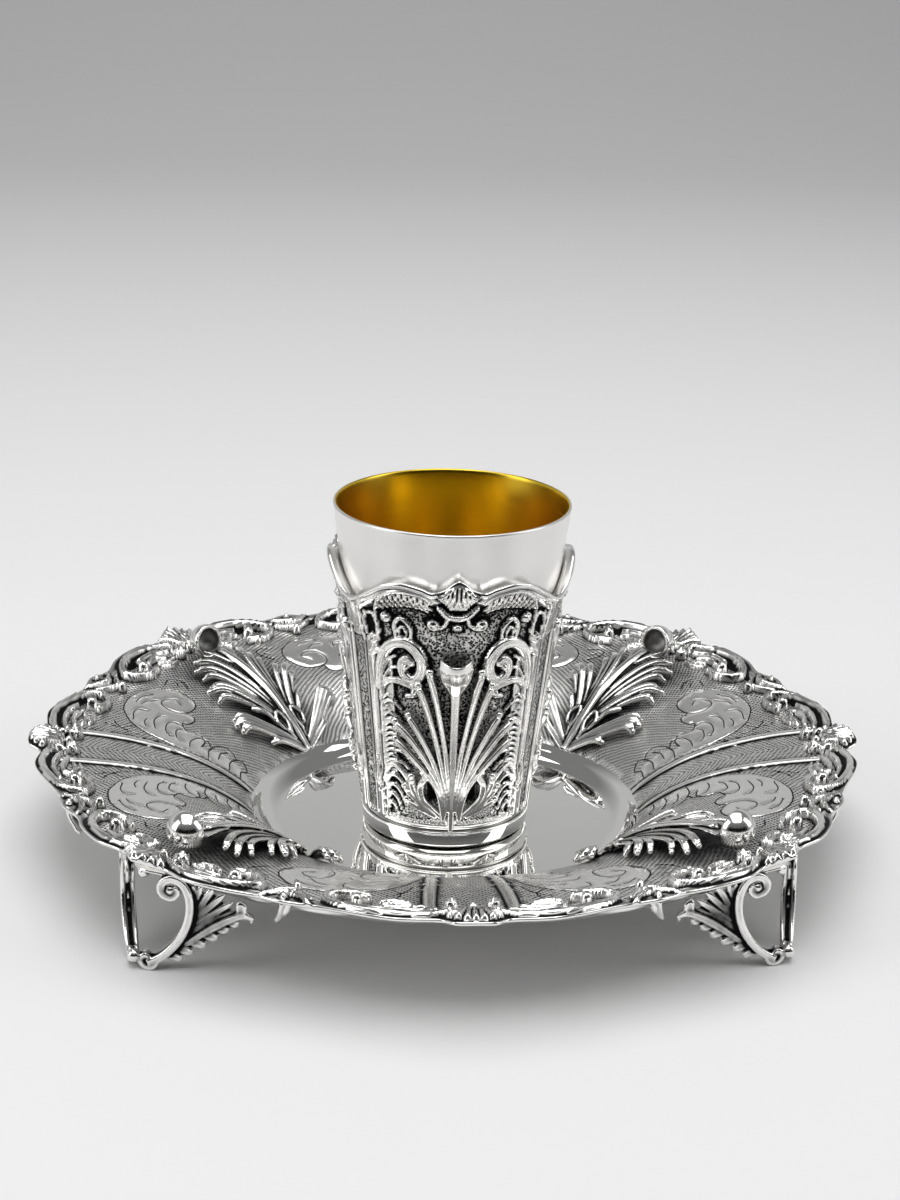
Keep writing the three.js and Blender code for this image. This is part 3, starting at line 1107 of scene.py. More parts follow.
    def worked(self, flat: np.ndarray) -> tuple[np.ndarray, np.ndarray, np.ndarray]:
        """Height, darkness and ground mark of each point of one eighth; the darkness is oxide in the lines
        and painted shadow near the leaf.

        Args:
            flat: The points of the eighth.

        Returns:
            The three, for each point.
        """
        relief = Relief(flat)
        first, second = flat.T
        outer = np.interp(first, *zip(*self.channel_outer))
        inner = np.interp(first, *zip(*self.channel_inner))
        share = np.clip((second - inner) / (outer - inner), 0, 1)
        moulding = np.sqrt(np.clip(1 - (2 * share - 1) ** 2, 0, 1))
        scroll = inside_outline(flat, self.scroll_outline())
        relief.height += 0.45 * moulding + 0.14 * scroll
        before = relief.height.copy()
        for line in (self.outer_line, self.inner_line, *self.strokes):
            relief.cut(line, self.line_width, self.line_depth)
        for line in (self.channel_outer, self.channel_inner):
            relief.cut(line, self.line_width * 1.5, self.line_depth * 1.6)
        dark = 1.1 * np.clip((before - relief.height) / self.line_depth, 0, 1)
        # Painted shadow of the leaf, together with oxide on the ground that the leaf covers, darkens the
        # border round it.
        out, aside = (first + second) / math.sqrt(2), (first - second) / math.sqrt(2)
        shade = np.exp(-((aside / (8 + 0.2 * (out - 50))) ** 4) - ((out - 71) / 23) ** 4)
        plain = scroll | (moulding > 0.05)
        dark = np.maximum(dark, np.where(plain, 0.3 * shade, 0.5 * shade + 0.2))
        return relief.height, dark, np.where(plain, 0.0, 1.0)

    def scroll_outline(self) -> np.ndarray:
        """Closed outline of the plain scroll between its two long lines and the channel.

        Returns:
            Its corners in order.
        """
        outer = smooth_line(self.outer_line[:13])
        inner = smooth_line(self.inner_line)
        stem = np.array([(62.5, 13.5), (58, 16), (54, 13), (52, 11), (51, 8.2), (60, 8.8), (70, 9.8)])
        return np.vstack([outer, inner, stem])

    def build(self, finishes: Finishes) -> bpy.types.Object:
        """Make the dish.

        Args:
            finishes: The metals of the set.

        Returns:
            The dish.
        """
        flat = self.layout()
        found = delaunay_2d_cdt([Vector(p) for p in flat], [], [], 0, 1e-4)
        flat = np.array([tuple(p) for p in found[0]])
        faces = np.array([face for face in found[2] if len(face) == 3])
        faces = faces[np.hypot(*flat[faces].mean(1).T) > WALL_RADIUS + 0.02]
        height, dark, ground = self.worked(flat)
        radius = np.hypot(*flat.T)
        level = border_top(radius) + height * np.clip((radius - WALL_RADIUS) / 1.5, 0, 1)
        eighth = np.column_stack([flat, level])
        points, triangles, darks, grounds = [], [], [], []
        for quarter in range(4):
            for mirror in (1, -1):
                x, y = turned(eighth[:, 0], eighth[:, 1] * mirror, math.radians(90 * quarter))
                triangles.append((faces if mirror > 0 else faces[:, ::-1]) + len(points) * len(flat))
                points.append(np.column_stack([x, y, eighth[:, 2]]))
                darks.append(dark)
                grounds.append(ground)
        border = len(points) * len(flat)
        rings, quads, kinds = self.plain_rings()
        faces = [*np.vstack(triangles), *(np.array(quads) + border)]
        dish = new_object("dish", np.vstack([*points, rings]), faces)
        store(dish, "oxide_and_shade", np.r_[np.concatenate(darks), np.zeros(len(rings))])
        store(dish, "ground", np.r_[np.concatenate(grounds), np.zeros(len(rings))])
        numbers = np.r_[np.zeros(len(faces) - len(quads), int), kinds]
        dish.data.polygons.foreach_set("material_index", numbers)
        tidied(dish)
        self.lay_out(dish)
        smooth_shaded(dish, 50)
        dressed(dish, "chased_silver", "saucer_dish", finishes.chased_dish, finishes.mirror, finishes.under)
        return dish

    def plain_rings(self) -> tuple[np.ndarray, list[tuple[int, ...]], np.ndarray]:
        """The well, the wall, the edge and the underside.

        Returns:
            Their points, their faces, and the number of each face's material.
        """
        columns = self.sectors * 8
        turn = np.radians(np.arange(columns) * 360 / columns)
        wall = [(WELL_RADIUS - 0.3, WELL_TOP), (WELL_RADIUS + 0.3, WELL_TOP + 0.12)]
        wall += [(WELL_RADIUS + 1.4, WELL_TOP + 0.5), (WELL_RADIUS + 2.8, WELL_TOP + 1.2)]
        wall += [(WELL_RADIUS + 4.2, WELL_TOP + 2.4), (WALL_RADIUS - 0.3, WALL_TOP - 0.15)]
        top = [(r, WELL_TOP) for r in (0.0, 22.0, WELL_RADIUS - 2)]
        top += [*wall, (WALL_RADIUS, WALL_TOP)]
        steps = np.linspace(WALL_RADIUS, DISH_RADIUS, 10)
        under = [(r, float(border_top(r)) - DISH_SHEET) for r in steps[::-1]]
        under += [(r, z - DISH_SHEET) for r, z in top[::-1][1:]]
        rows = top + [(DISH_RADIUS, float(border_top(DISH_RADIUS)))] + under
        circle = np.column_stack([np.cos(turn), np.sin(turn), np.zeros(columns)])
        points = np.vstack([r * circle + (0, 0, z) for r, z in rows])
        quads, kinds = [], []
        for i in range(len(rows) - 1):
            if i == len(top) - 1:
                continue
            for j in range(columns):
                k = (j + 1) % columns
                here, there = i * columns, (i + 1) * columns
                quads.append((here + j, there + j, there + k, here + k))
                # The border's material is number 0, the mirror 1 and the underside 2.
                kinds.append(1 if i < len(top) else 2)
        return points, quads, np.array(kinds)

    def lay_out(self, dish: bpy.types.Object) -> None:
        """Give the dish a flat layout in which the hatching runs round it.

        Args:
            dish: The dish.
        """
        points = places(dish)
        loops = np.empty(len(dish.data.loops), int)
        dish.data.loops.foreach_get("vertex_index", loops)
        radius = np.hypot(points[:, 0], points[:, 1])
        angle = np.degrees(np.arctan2(points[:, 1], points[:, 0]))
        folded = np.abs((angle + 45) % 90 - 45)
        layout = np.column_stack([np.radians(folded) * (WALL_RADIUS + DISH_RADIUS) / 2, radius]) * MM
        layer = dish.data.uv_layers.new(name="layout")
        layer.data.foreach_set("uv", layout[loops].ravel())


@dataclass
class Rim:
    """The cast rim of scrolls and shells, worked as one eighth from a channel to a diagonal.

    The layout's first number is the angle from the channel in degrees, its second the radius.

    Attributes:
        keys: Angle, radius and crest height of the rim's outline, as the frame has them.
        degree: Length of one degree at the rim.
        columns: Steps round one eighth.
        inward: How far the cast work reaches in from the outline.
        row_step: Distance between rows across the rim.
        band: Height of the plain band at the edge.
        round_off: How far in from the outline the edge is rounded over.
        edge_drop: How far below its crest the edge starts.
        low_crest: Crest height at which the outline lifts the cast work by nothing.
        tips: Angle from each channel, radius and height at which the leaf tips hang.
    """

    keys: tuple[tuple[float, float, float], ...] = (
        (0, 107.5, 27.3), (2.5, 107.0, 27.1), (4.5, 104.1, 26.3), (10, 105.6, 26.9), (17, 103.3, 26.5),
        (20.5, 102.9, 26.3), (24, 104.2, 26.8), (28, 103.2, 26.4), (32, 105.4, 27.1), (37, 106.5, 27.4),
        (41, 104.8, 27.0), (45, 108.3, 28.6),
    )
    degree: float = 1.78
    columns: int = 200
    inward: float = 15.5
    row_step: float = 0.41
    band: float = 1.9
    round_off: float = 1.05
    edge_drop: float = 0.7
    low_crest: float = 26.3
    tips: tuple[float, float, float] = (24.0, 101.9, 24.4)

    def arc(self, points: Sequence[Pair]) -> list[Pair]:
        """A line with its angles turned into lengths."""
        return [(angle * self.degree, radius) for angle, radius in points]

    def ornament(self, relief: Relief) -> None:
        """Raise the shells, scrolls, ruffles and balls of one eighth.

        Args:
            relief: The relief of the eighth.
        """
        # A shell on each channel and each diagonal, with a volute and a wing on both its sides.
        for middle, neck, spread, reach in ((0.0, 99.0, 1.02, 106.4), (45.0, 99.8, 1.08, 107.2)):
            for rib in range(-3, 4):
                line = [(middle + rib * 0.4, neck), (middle + rib * 0.72, neck + 3.4)]
                line.append((middle + rib * spread, reach - 0.3 * rib * rib))
                relief.ridge(self.arc(line), 1.9, 3.0, (0.6, 0.9, 1.1))
            relief.ball((middle * self.degree, neck - 1.8), 1.3, 2.5)
            for side in (-1, 1):
                centre = ((middle + side * 2.8) * self.degree, neck - 3.2)
                relief.volute(centre, 2.2, 3.3, 90 + side * 40, -side * 1.1)
                wing = [(middle + side * 4.2, neck + 3.0), (middle + side * 3.0, neck + 0.6)]
                relief.ridge(self.arc([*wing, (middle + side * 3.9, neck - 1.4)]), 1.7, 2.3, (0.7, 1, 0.6))
        strands = (
            # The scroll next to the channel: its strands leave the shell and curl in at the fold.
            (
                ((3.6, 101.4), (6.4, 103.1), (10, 103.8), (14, 103.1), (17.8, 100.9), (19.5, 97.7),
                 (18.7, 94.6), (16.3, 93.2), (14.0, 94.1)),
                2.2, 3.1,
            ),
            (((4.8, 98.8), (7.6, 100.6), (11, 101.1), (14.3, 100.3)), 1.5, 2.3),
            (((6.4, 97.2), (9, 98.6), (11.4, 98.7), (12.6, 97.2)), 1.4, 2.0),
            (((12.2, 95.0), (10.6, 93.9), (8.4, 94.4)), 1.3, 1.6),
            (((11.8, 96.8), (9.9, 95.6), (7.8, 96.0)), 1.2, 1.6),
            # The scroll next to the diagonal, which curls in from the other side.
            (
                ((41.8, 101.6), (38.6, 103.9), (34.6, 103.9), (31, 101.7), (28.9, 98.4), (29.2, 95.0),
                 (31.6, 93.0), (34.2, 93.7)),
                2.2, 3.2,
            ),
            (((40.6, 99.4), (37.8, 101.1), (34.6, 101.0)), 1.5, 2.3),
            (((39, 97.6), (36.9, 98.9), (35.0, 98.2)), 1.4, 2.0),
            (((36.4, 94.8), (38, 93.7), (40, 94.4)), 1.3, 1.6),
            (((36.8, 96.6), (38.6, 95.6), (40.4, 96.4)), 1.2, 1.6),
            # The folded ribbon between the two.
            (((20.4, 103.6), (21.8, 101.0), (24.1, 99.4), (26.4, 101.0), (27.6, 103.4)), 1.7, 2.8),
            (((21.0, 99.6), (22.6, 97.4), (24.2, 96.4), (25.8, 97.4), (27.0, 99.6)), 1.4, 2.2),
        )
        # Both scrolls curl round a deep pocket that holds a ball.
        for angle, radius in ((15.6, 97.4), (33.0, 97.4)):
            away = np.linalg.norm(relief.points - (angle * self.degree, radius), axis=1)
            relief.height -= 0.9 * np.exp(-((away / 3.6) ** 4))
        for strand, width, height in strands:
            relief.ridge(self.arc(strand), width, height, (0.9, 1.05, 0.7), 0.22)
        balls = ((15.4, 96.9, 1.75), (33.0, 97.0, 1.8), (24.2, 94.6, 1.3), (24.1, 102.4, 1.0))
        for angle, radius, size in balls:
            relief.ball((angle * self.degree, radius), size, 2.4 + 0.6 * size, 0.25)

    def build(self, finishes: Finishes) -> bpy.types.Object:
        """Make the rim.

        Args:
            finishes: The metals of the set.

        Returns:
            The rim.
        """
        angle = np.linspace(0, 45, self.columns + 1)
        outline = smooth_keys(self.keys, angle, 1)
        crest = smooth_keys(self.keys, angle, 2)
        inset = np.r_[0.0, 0.12, 0.35, 0.7, np.arange(self.round_off, self.inward, self.row_step)]
        radius = outline[:, None] - inset
        layout = np.column_stack([np.repeat(angle, len(inset)) * self.degree, radius.ravel()])
        relief = Relief(layout, -0.7)
        seat = np.clip(1 - (inset - 2.4) / 2.2, 0, 1)
        relief.height = np.maximum(relief.height, np.tile(-0.7 + 2.0 * seat**0.7, len(angle)))
        self.ornament(relief)
        ground = border_top(np.minimum(radius, DISH_RADIUS + 1))
        level = ground + relief.height.reshape(radius.shape)
        level += (crest - self.low_crest)[:, None] * np.clip(1 - inset / 12, 0, 1)
        edge = crest[:, None] - self.edge_drop
        shoulder = np.clip(inset / self.round_off, 0, 1) ** 0.5
        level = np.where(inset < self.round_off, edge + (level - edge) * shoulder, level)
        foot = crest - self.band
        seat = np.full_like(crest, DISH_RADIUS + 0.35)
        under = border_top(DISH_RADIUS) - DISH_SHEET
        # The section closes under the ornament, round the dish's edge and along the plain band.
        close = [
            (radius[:, -1], ground[:, -1] - 0.8),
            (seat, np.full_like(crest, under + 0.6)),
            (seat, np.full_like(crest, under)),
            (seat + 0.9, np.full_like(crest, under + 0.1)),
            (seat + 1.4, foot - 0.5),
            (outline - 0.9, foot),
            (outline - 0.2, foot + 0.15),
            (outline, foot + 0.45),
        ]
        r = np.column_stack([radius, *(c[0] for c in close)])
        z = np.column_stack([level, *(c[1] for c in close)])
        sections = []
        for quarter in range(4):
            for turn, rr, zz in ((angle, r, z), (90 - angle[::-1], r[::-1], z[::-1])):
                a = np.radians(turn[:-1] + 90 * quarter)[:, None]
                sections.append(np.stack([rr[:-1] * np.cos(a), rr[:-1] * np.sin(a), zz[:-1]], axis=-1))
        grid = np.concatenate(sections)
        rim = new_object("rim", grid.reshape(-1, 3), wrapped_faces(*grid.shape[:2]))
        self.add_tips(rim)
        tidied(rim)
        set_recess(rim, 0.26, 0.8, 0.5)
        # The plain underside is wiped clean.
        amend(rim, "oxide_and_shade", facings(rim)[:, 2] < -0.05, 0.12)
        smooth_shaded(rim)
        dressed(rim, "polished_silver", "saucer_rim", finishes.cast)
        return rim

    def add_tips(self, rim: bpy.types.Object) -> None:
        """Hang a small leaf tip below the rim in each of its eighths.

        Args:
            rim: The rim, which gets a new mesh.
        """
        clay = Clay()
        clay.finger([(0, 0, 0.5), (0.2, 0.6, -2.4), (1.0, 1.9, -4.6), (1.0, 3.2, -5.6)], (3.4, 1.8), 1.1)
        clay.finger([(0, -0.4, 0.5), (0.3, -0.4, -1.8), (0.8, 0.8, -3.8)], (2.4, 1.6), 1.0)
        tip = np.vstack(clay.vertices)
        angle, out, height = self.tips
        everything = Clay()
        everything.add(places(rim), [tuple(p.vertices) for p in rim.data.polygons])
        for quarter in range(4):
            for side in (-1, 1):
                turn = math.radians(90 * quarter + side * angle)
                x, y = turned(out - tip[:, 0], side * tip[:, 1], turn)
                faces = clay.faces if side > 0 else [face[::-1] for face in clay.faces]
                everything.add(np.column_stack([x, y, height + tip[:, 2]]), faces)
        old = rim.data
        rim.data = bpy.data.meshes.new("rim")
        rim.data.from_pydata((np.vstack(everything.vertices) * MM).tolist(), [], everything.faces)
        bpy.data.meshes.remove(old)


def wrapped_faces(columns: int, rows: int) -> list[tuple[int, int, int, int]]:
    """Faces of a grid that closes on itself both ways.

    Args:
        columns: How many columns it has.
        rows: How many points each column has.

    Returns:
        Four numbers for each face.
    """
    i, j = (index.ravel() for index in np.meshgrid(np.arange(columns), np.arange(rows), indexing="ij"))
    k, m = (i + 1) % columns, (j + 1) % rows
    return np.column_stack([i * rows + j, k * rows + j, k * rows + m, i * rows + m]).tolist()


@dataclass
class SaucerLeaves:
    """Cast acanthus leaves on the saucer's diagonals, each with a hooked hood.

    The layout's first length runs out from the root, its second to the side, its third up.

    Attributes:
        root: Radius at which the leaf starts.
        voxel: The finest detail that is kept.
        hood: Middle of the hood, in the leaf's layout.
        hood_radius: Outer radius of the hood.
    """

    root: float = 50.4
    voxel: float = 0.28
    hood: tuple[float, float, float] = (40.8, 0.0, 5.8)
    hood_radius: float = 4.9

    def clay(self) -> Clay:
        """Half of the leaf's fingers, then their mirror image and the hood.

        Returns:
            The whole leaf, laid out flat.
        """
        clay = Clay()
        fronds = (
            # Beside the hood.
            (((3, 0.4), (14, 1.3), (25, 3.2), (32, 5.6), (36.4, 8.2)), (1.0, 1.9), 4.0, 1.2),
            (((3, 0.6), (13.5, 2.0), (24, 4.5), (30.6, 7.2), (34.2, 9.9)), (1.0, 2.0), 3.2, 1.9),
            (((3, 0.8), (13, 2.7), (23, 5.8), (28.6, 8.6), (30.2, 10.6)), (1.0, 1.8), 2.5, 1.7),
            # The middle lobe.
            (((2.6, 1.0), (12, 3.6), (19.4, 7.0), (23.8, 10.2), (25.4, 12.3)), (1.0, 1.9), 2.5, 1.4),
            (((2.4, 1.2), (11, 4.1), (17.8, 8.2), (21.9, 11.8), (23.6, 15.0)), (1.0, 2.2), 3.1, 1.6),
            (((2.2, 1.3), (10, 4.5), (16.2, 9.0), (19.6, 12.8), (19.8, 14.6)), (1.0, 1.8), 2.2, 1.7),
            # A short finger in the notch.
            (((7.6, 3.9), (10.6, 6.0), (13.2, 8.6)), (1.0, 1.6), 2.4, 0.6),
            # The bottom lobe, with a small lappet below it.
            (((0.8, 1.0), (4.0, 5.0), (8.0, 10.4), (11.2, 15.0), (11.6, 16.9)), (1.2, 2.1), 2.6, 1.4),
            (((0.6, 1.2), (3.2, 5.2), (6.8, 10.8), (9.7, 15.8), (9.7, 17.8)), (1.3, 2.4), 2.7, 1.4),
            (((0.4, 1.4), (2.5, 5.4), (5.6, 11.0), (8.0, 15.6), (7.6, 17.4)), (1.2, 2.1), 2.5, 1.5),
            (((0.2, 1.4), (1.6, 4.8), (3.0, 8.4), (3.3, 10.6)), (1.1, 1.7), 1.9, 1.2),
        )
        for path, width, rise, droop in fronds:
            clay.frond(path, width, rise, droop)
        eye = [(4.4, 2.3, 1.4), (7.2, 1.5, 2.0), (10.4, 2.6, 2.4), (8.0, 4.6, 2.0), (5.2, 3.6, 1.4)]
        clay.finger(eye, (1.0, 1.0), 0.8, 0)
        clay.mirrored()
        stem = [(0, 0, 0.6), (8, 0, 2.2), (17, 0, 3.9), (27, 0, 5.0), (36, 0, 5.2)]
        clay.finger(stem, (2.0, 2.6), 1.2, 0.3)
        clay.shell([(29, 0, 4.2), (33.5, 0, 4.6), (38, 0, 4.0)], (3, 6.6, 8), -0.8, 1.2)
        clay.bowl(self.hood, self.hood_radius, 1.2, 14, 104)
        return clay

    def place(self, flat: np.ndarray) -> np.ndarray:
        """Lay the leaf on the border of the saucer, out from its root.

        Args:
            flat: The leaf's points in its flat layout.

        Returns:
            The points in place, along +X.
        """
        out, side, up = flat[:, 0] + self.root, flat[:, 1], flat[:, 2]
        ground = border_top(np.maximum(np.hypot(out, side), WALL_RADIUS - 1))
        along = WALL_RADIUS - np.maximum(out, WALL_RADIUS)
        lean = BORDER_RISE / BORDER_EASE * np.exp(along / BORDER_EASE)
        steep = np.hypot(1, lean)
        return np.column_stack([out - 0.6 * up * lean / steep, side, ground + up / steep])

    def build(self, finishes: Finishes) -> None:
        """Make one leaf and its three copies.

        Args:
            finishes: The metals of the set.
        """
        first = self.clay().made("leaf_1", self.place)
        fused(first, self.voxel)
        set_recess(first, 0.24, 0.9, 0.5)
        middle = self.place(np.array([self.hood]))
        away = np.linalg.norm(places(first) - middle, axis=1) / self.hood_radius
        # Painted shade darkens the inside of the hood, and its outer face is cleared of darkness so that it
        # shows bright.
        amend(first, "oxide_and_shade", np.clip((0.86 - away) / 0.06, 0, 1), 0.5)
        outside = (away > 0.94) & (away < 1.04) & (places(first)[:, 0] > middle[0, 0] - 2)
        amend(first, "oxide_and_shade", outside, 0.05)
        smooth_shaded(first)
        on_diagonals(first, "leaf", finishes.cast)


@dataclass
class Feet:
    """Cast feet on the diagonals: two scrolled straps that meet at the floor, with leafy fins.

    A half is laid out in its own upright plane: away from the diagonal, through its thickness, up.

    Attributes:
        radius: Distance of the foot's outer corner from the middle of the set.
        sweep: Angle between a half and the line square to the diagonal, in degrees.
        voxel: The finest detail that is kept.
        rim_underside: Height at which the foot ends outside the dish.
    """

    radius: float = 107.6
    sweep: float = 35.0
    voxel: float = 0.27
    rim_underside: float = 24.8

    def half(self) -> Clay:
        """Strap, volutes and fin of one half.

        Returns:
            The half, in its own plane.
        """
        clay = Clay()
        strap = (
            (3.4, 1.6), (7.0, 3.9), (10.6, 8.0), (12.8, 12.8), (13.3, 17.8), (11.9, 21.8),
            (9.2, 23.2), (6.8, 21.9), (6.7, 19.5), (8.7, 18.4), (10.2, 19.7), (9.4, 21.0),
        )
        self.ribbon(clay, self.upright(strap), (3.2, 3.5, 3.6, 3.4, 2.8, 2.0, 1.6), 1.2)
        scroll = ((6.0, 3.6), (4.6, 0.95), (2.5, 0.9), (1.5, 2.4), (2.6, 3.6), (3.6, 2.7))
        self.ribbon(clay, self.upright(scroll), (3.2, 3.2, 2.8, 2.4), 0.85)
        clay.ball((3.0, 0, 2.5), 1.1)
        clay.ball((8.6, 0, 20.2), 1.2)
        spine = ((8.2, 3.4), (14.0, 8.3), (19.4, 12.2), (24.4, 14.9), (27.3, 14.6), (27.2, 12.9))
        self.rib(clay, self.upright(spine), 2.3, 1.25)
        # The fin's web, which closes the gaps between its lobes.
        webs = ((9.6, 6.0, 24.0, 15.0), (10.8, 8.4, 22.6, 17.4), (12.0, 11.4, 20.4, 19.8))
        for x, z, x2, z2 in webs:
            web = ((x, z), ((x + x2) / 2, (z + z2) / 2), (x2, z2))
            self.rib(clay, self.upright(web), 5.0, 0.5)
        fins = (
            # Leaflets along the lower edge.
            ((7.6, 3.3), (9.6, 3.5), (11.4, 2.7), 2.6),
            ((9.6, 5.2), (12.2, 5.3), (13.8, 4.3), 2.8),
            ((12.2, 7.3), (15.0, 7.4), (16.8, 6.3), 2.9),
            ((15.0, 9.5), (17.8, 9.5), (19.6, 8.4), 3.0),
            ((18.0, 11.4), (20.6, 11.5), (22.2, 10.5), 2.9),
            ((20.8, 13.2), (23.0, 13.2), (24.6, 12.2), 2.6),
            # Long lobes above the spine.
            ((9.6, 6.2), (15.0, 11.2), (24.2, 16.4), 2.1),
            ((10.2, 7.6), (15.6, 12.8), (23.2, 18.4), 2.1),
            ((10.8, 9.2), (15.6, 14.6), (21.4, 20.4), 2.1),
            ((11.6, 10.6), (15.2, 16.0), (18.9, 22.0), 2.1),
            ((21.4, 13.4), (24.9, 15.6), (24.8, 18.8), 3.0),
            # Upright tines beside the strap.
            ((12.6, 12.6), (14.4, 17.6), (16.2, 22.6), 1.7),
            ((13.4, 15.0), (14.4, 18.6), (14.0, 22.8), 1.4),
        )
        for *path, width in fins:
            self.rib(clay, self.upright(path), width, 1.0)
        return clay

    @staticmethod
    def upright(points: Sequence[Pair]) -> list[tuple[float, float, float]]:
        """A line in the half's plane, as points in space."""
        return [(x, 0.0, z) for x, z in points]

    def ribbon(
        self, clay: Clay, path: Sequence[Sequence[float]], depth: Sequence[float], height: float
    ) -> None:
        """Add a strap with raised edges that bends in the half's plane.

        Args:
            clay: What the strap is added to.
            path: The line that its middle follows.
            depth: Its breadth through the half's plane at even steps along the path.
            height: Half of its thickness.
        """
        line = smooth_line(path, 0.6)
        along = directions(line)
        side = np.array((0.0, 1.0, 0.0))
        out = np.cross(along, side)
        t = np.linspace(0, 1, len(line))
        half = np.interp(t, np.linspace(0, 1, len(depth)), depth) / 2
        angle = np.linspace(0, 2 * np.pi, 20, endpoint=False)
        across = np.sign(np.cos(angle)) * np.abs(np.cos(angle)) ** 0.5
        rise = np.sign(np.sin(angle)) * np.abs(np.sin(angle)) ** 0.6
        rise *= 1 - 0.55 * np.exp(-((across / 0.5) ** 2))
        clay.tube(
            line[:, None]
            + side * (half[:, None] * across)[..., None]
            + out[:, None] * (height * rise)[None, :, None]
        )

    def rib(self, clay: Clay, path: Sequence[Sequence[float]], width: float, depth: float) -> None:
        """Add a rib of the fin that is rounded on both faces and tapers to its root.

        Args:
            clay: What the rib is added to.
            path: The line that its middle follows.
            width: Its full width in the half's plane.
            depth: Half of its thickness.
        """
        line = smooth_line(path, 0.7)
        along = directions(line)
        side = np.cross(along, (0.0, 1.0, 0.0))
        t = np.linspace(0, 1, len(line))
        taper = 0.45 + 0.55 * np.sin(np.clip(t * 1.3, 0, 1) * np.pi / 2)
        blunt = np.sqrt(np.clip(1 - t**8, 0.03, 1)) * taper
        angle = np.linspace(0, 2 * np.pi, 14, endpoint=False)
        rings = line[:, None] + side[:, None] * (width / 2 * blunt[:, None] * np.cos(angle))[..., None]
        hollow = 1 - 0.3 * np.exp(-((np.cos(angle) / 0.4) ** 2))
        rings[..., 1] += depth * blunt[:, None] * np.sin(angle) * hollow
        clay.tube(rings)

    def build(self, finishes: Finishes) -> None:
        """Make one foot and its three copies.

        Args:
            finishes: The metals of the set.
        """
        clay = Clay()
        for side in (1, -1):
            turn = math.radians(side * (90 + self.sweep))
            half = self.half()
            for points in half.vertices:
                points[:, 0], points[:, 1] = turned(points[:, 0], side * points[:, 1], turn)
            faces = half.faces if side > 0 else [face[::-1] for face in half.faces]
            clay.add(np.vstack(half.vertices), faces)
        # A knob at the foot's toe, and one with a bar under the rim.
        clay.ball((0.2, 0, 3.0), 1.7)
        clay.ball((-3.4, 0, 23.0), 1.5)
        side = [(-6.6, 6.4, 23.2), (-4.4, 3, 23.6)]
        bar = [*((x, -y, z) for x, y, z in side), (-3.4, 0, 23.8), *side[::-1]]
        clay.finger(bar, (2.4, 2.4), 0.9, 0)
        first = clay.made("foot_1", lambda p: p + (self.radius, 0, 0))
        fused(first, self.voxel)
        self.stand(first)
        set_recess(first, 0.2, 0.9, 0.58)
        smooth_shaded(first)
        on_diagonals(first, "foot", finishes.cast)

    def stand(self, foot: bpy.types.Object) -> None:
        """Flatten what would go through the floor, and what would go through the dish.

        Args:
            foot: The first foot.
        """
        points = places(foot)
        points[:, 2] = np.clip(points[:, 2], 0.0, None)
        radius = np.hypot(points[:, 0], points[:, 1])
        roof = border_top(np.maximum(radius, WALL_RADIUS)) - DISH_SHEET - 0.05
        roof = np.where(radius > DISH_RADIUS + 0.2, self.rim_underside, roof)
        points[:, 2] = np.minimum(points[:, 2], roof)
        foot.data.vertices.foreach_set("co", (points * MM).ravel())
        foot.data.update()


# --- Cup ------------------------------------------------------------------------------------


@dataclass
class Beaker:
    """The thin beaker: satin lip outside, gilt inside.

    Attributes:
        columns: How many sides it has.
    """

    columns: int = 160

    def profile(self) -> list[Pair]:
        """Radius and height of each ring.

        Returns:
            The rings from the middle of the base, up the outside, over the lip and down inside.
        """
        heights = np.r_[CUP_BASE + 0.6, np.linspace(14, CUP_TOP - 1.2, 12)]
        outside = [(float(beaker_radius(z)), float(z)) for z in heights]
        lip = [
            (BEAKER_RIM_RADIUS + 0.02, CUP_TOP - 0.5),
            (BEAKER_RIM_RADIUS - 0.12, CUP_TOP - 0.08),
            (BEAKER_RIM_RADIUS - 0.4, CUP_TOP),
            (BEAKER_RIM_RADIUS - 0.68, CUP_TOP - 0.08),
            (BEAKER_RIM_RADIUS - 0.8, CUP_TOP - 0.5),
        ]
        inside = [(r - BEAKER_WALL, z) for r, z in outside[::-1][:-1]]
        floor = CUP_BASE + BEAKER_WALL
        corner = [(BEAKER_BASE_RADIUS - 1.0, floor + 1.2), (BEAKER_BASE_RADIUS - 2.0, floor + 0.3)]
        base = [(BEAKER_BASE_RADIUS - 0.7, CUP_BASE)]
        return [*base, *outside, *lip, *inside, *corner, (BEAKER_BASE_RADIUS - 3.2, floor)]

    def build(self, finishes: Finishes) -> bpy.types.Object:
        """Draw the beaker up from a disc, ring by ring.

        Args:
            finishes: The metals of the set.

        Returns:
            The beaker.
        """
        item = turned_up("beaker", self.profile(), self.columns)
        centres = np.array([p.center for p in item.data.polygons]) / MM
        normals = np.array([p.normal for p in item.data.polygons])
        inward = (centres[:, :2] * normals[:, :2]).sum(1) < -0.01
        floor = (normals[:, 2] > 0.5) & (centres[:, 2] < 20)
        item.data.polygons.foreach_set("material_index", (inward | floor).astype(int))
        smooth_shaded(item, 60)
        dressed(item, "satin_silver", "cup_beaker", finishes.satin, finishes.gilt)
        return item


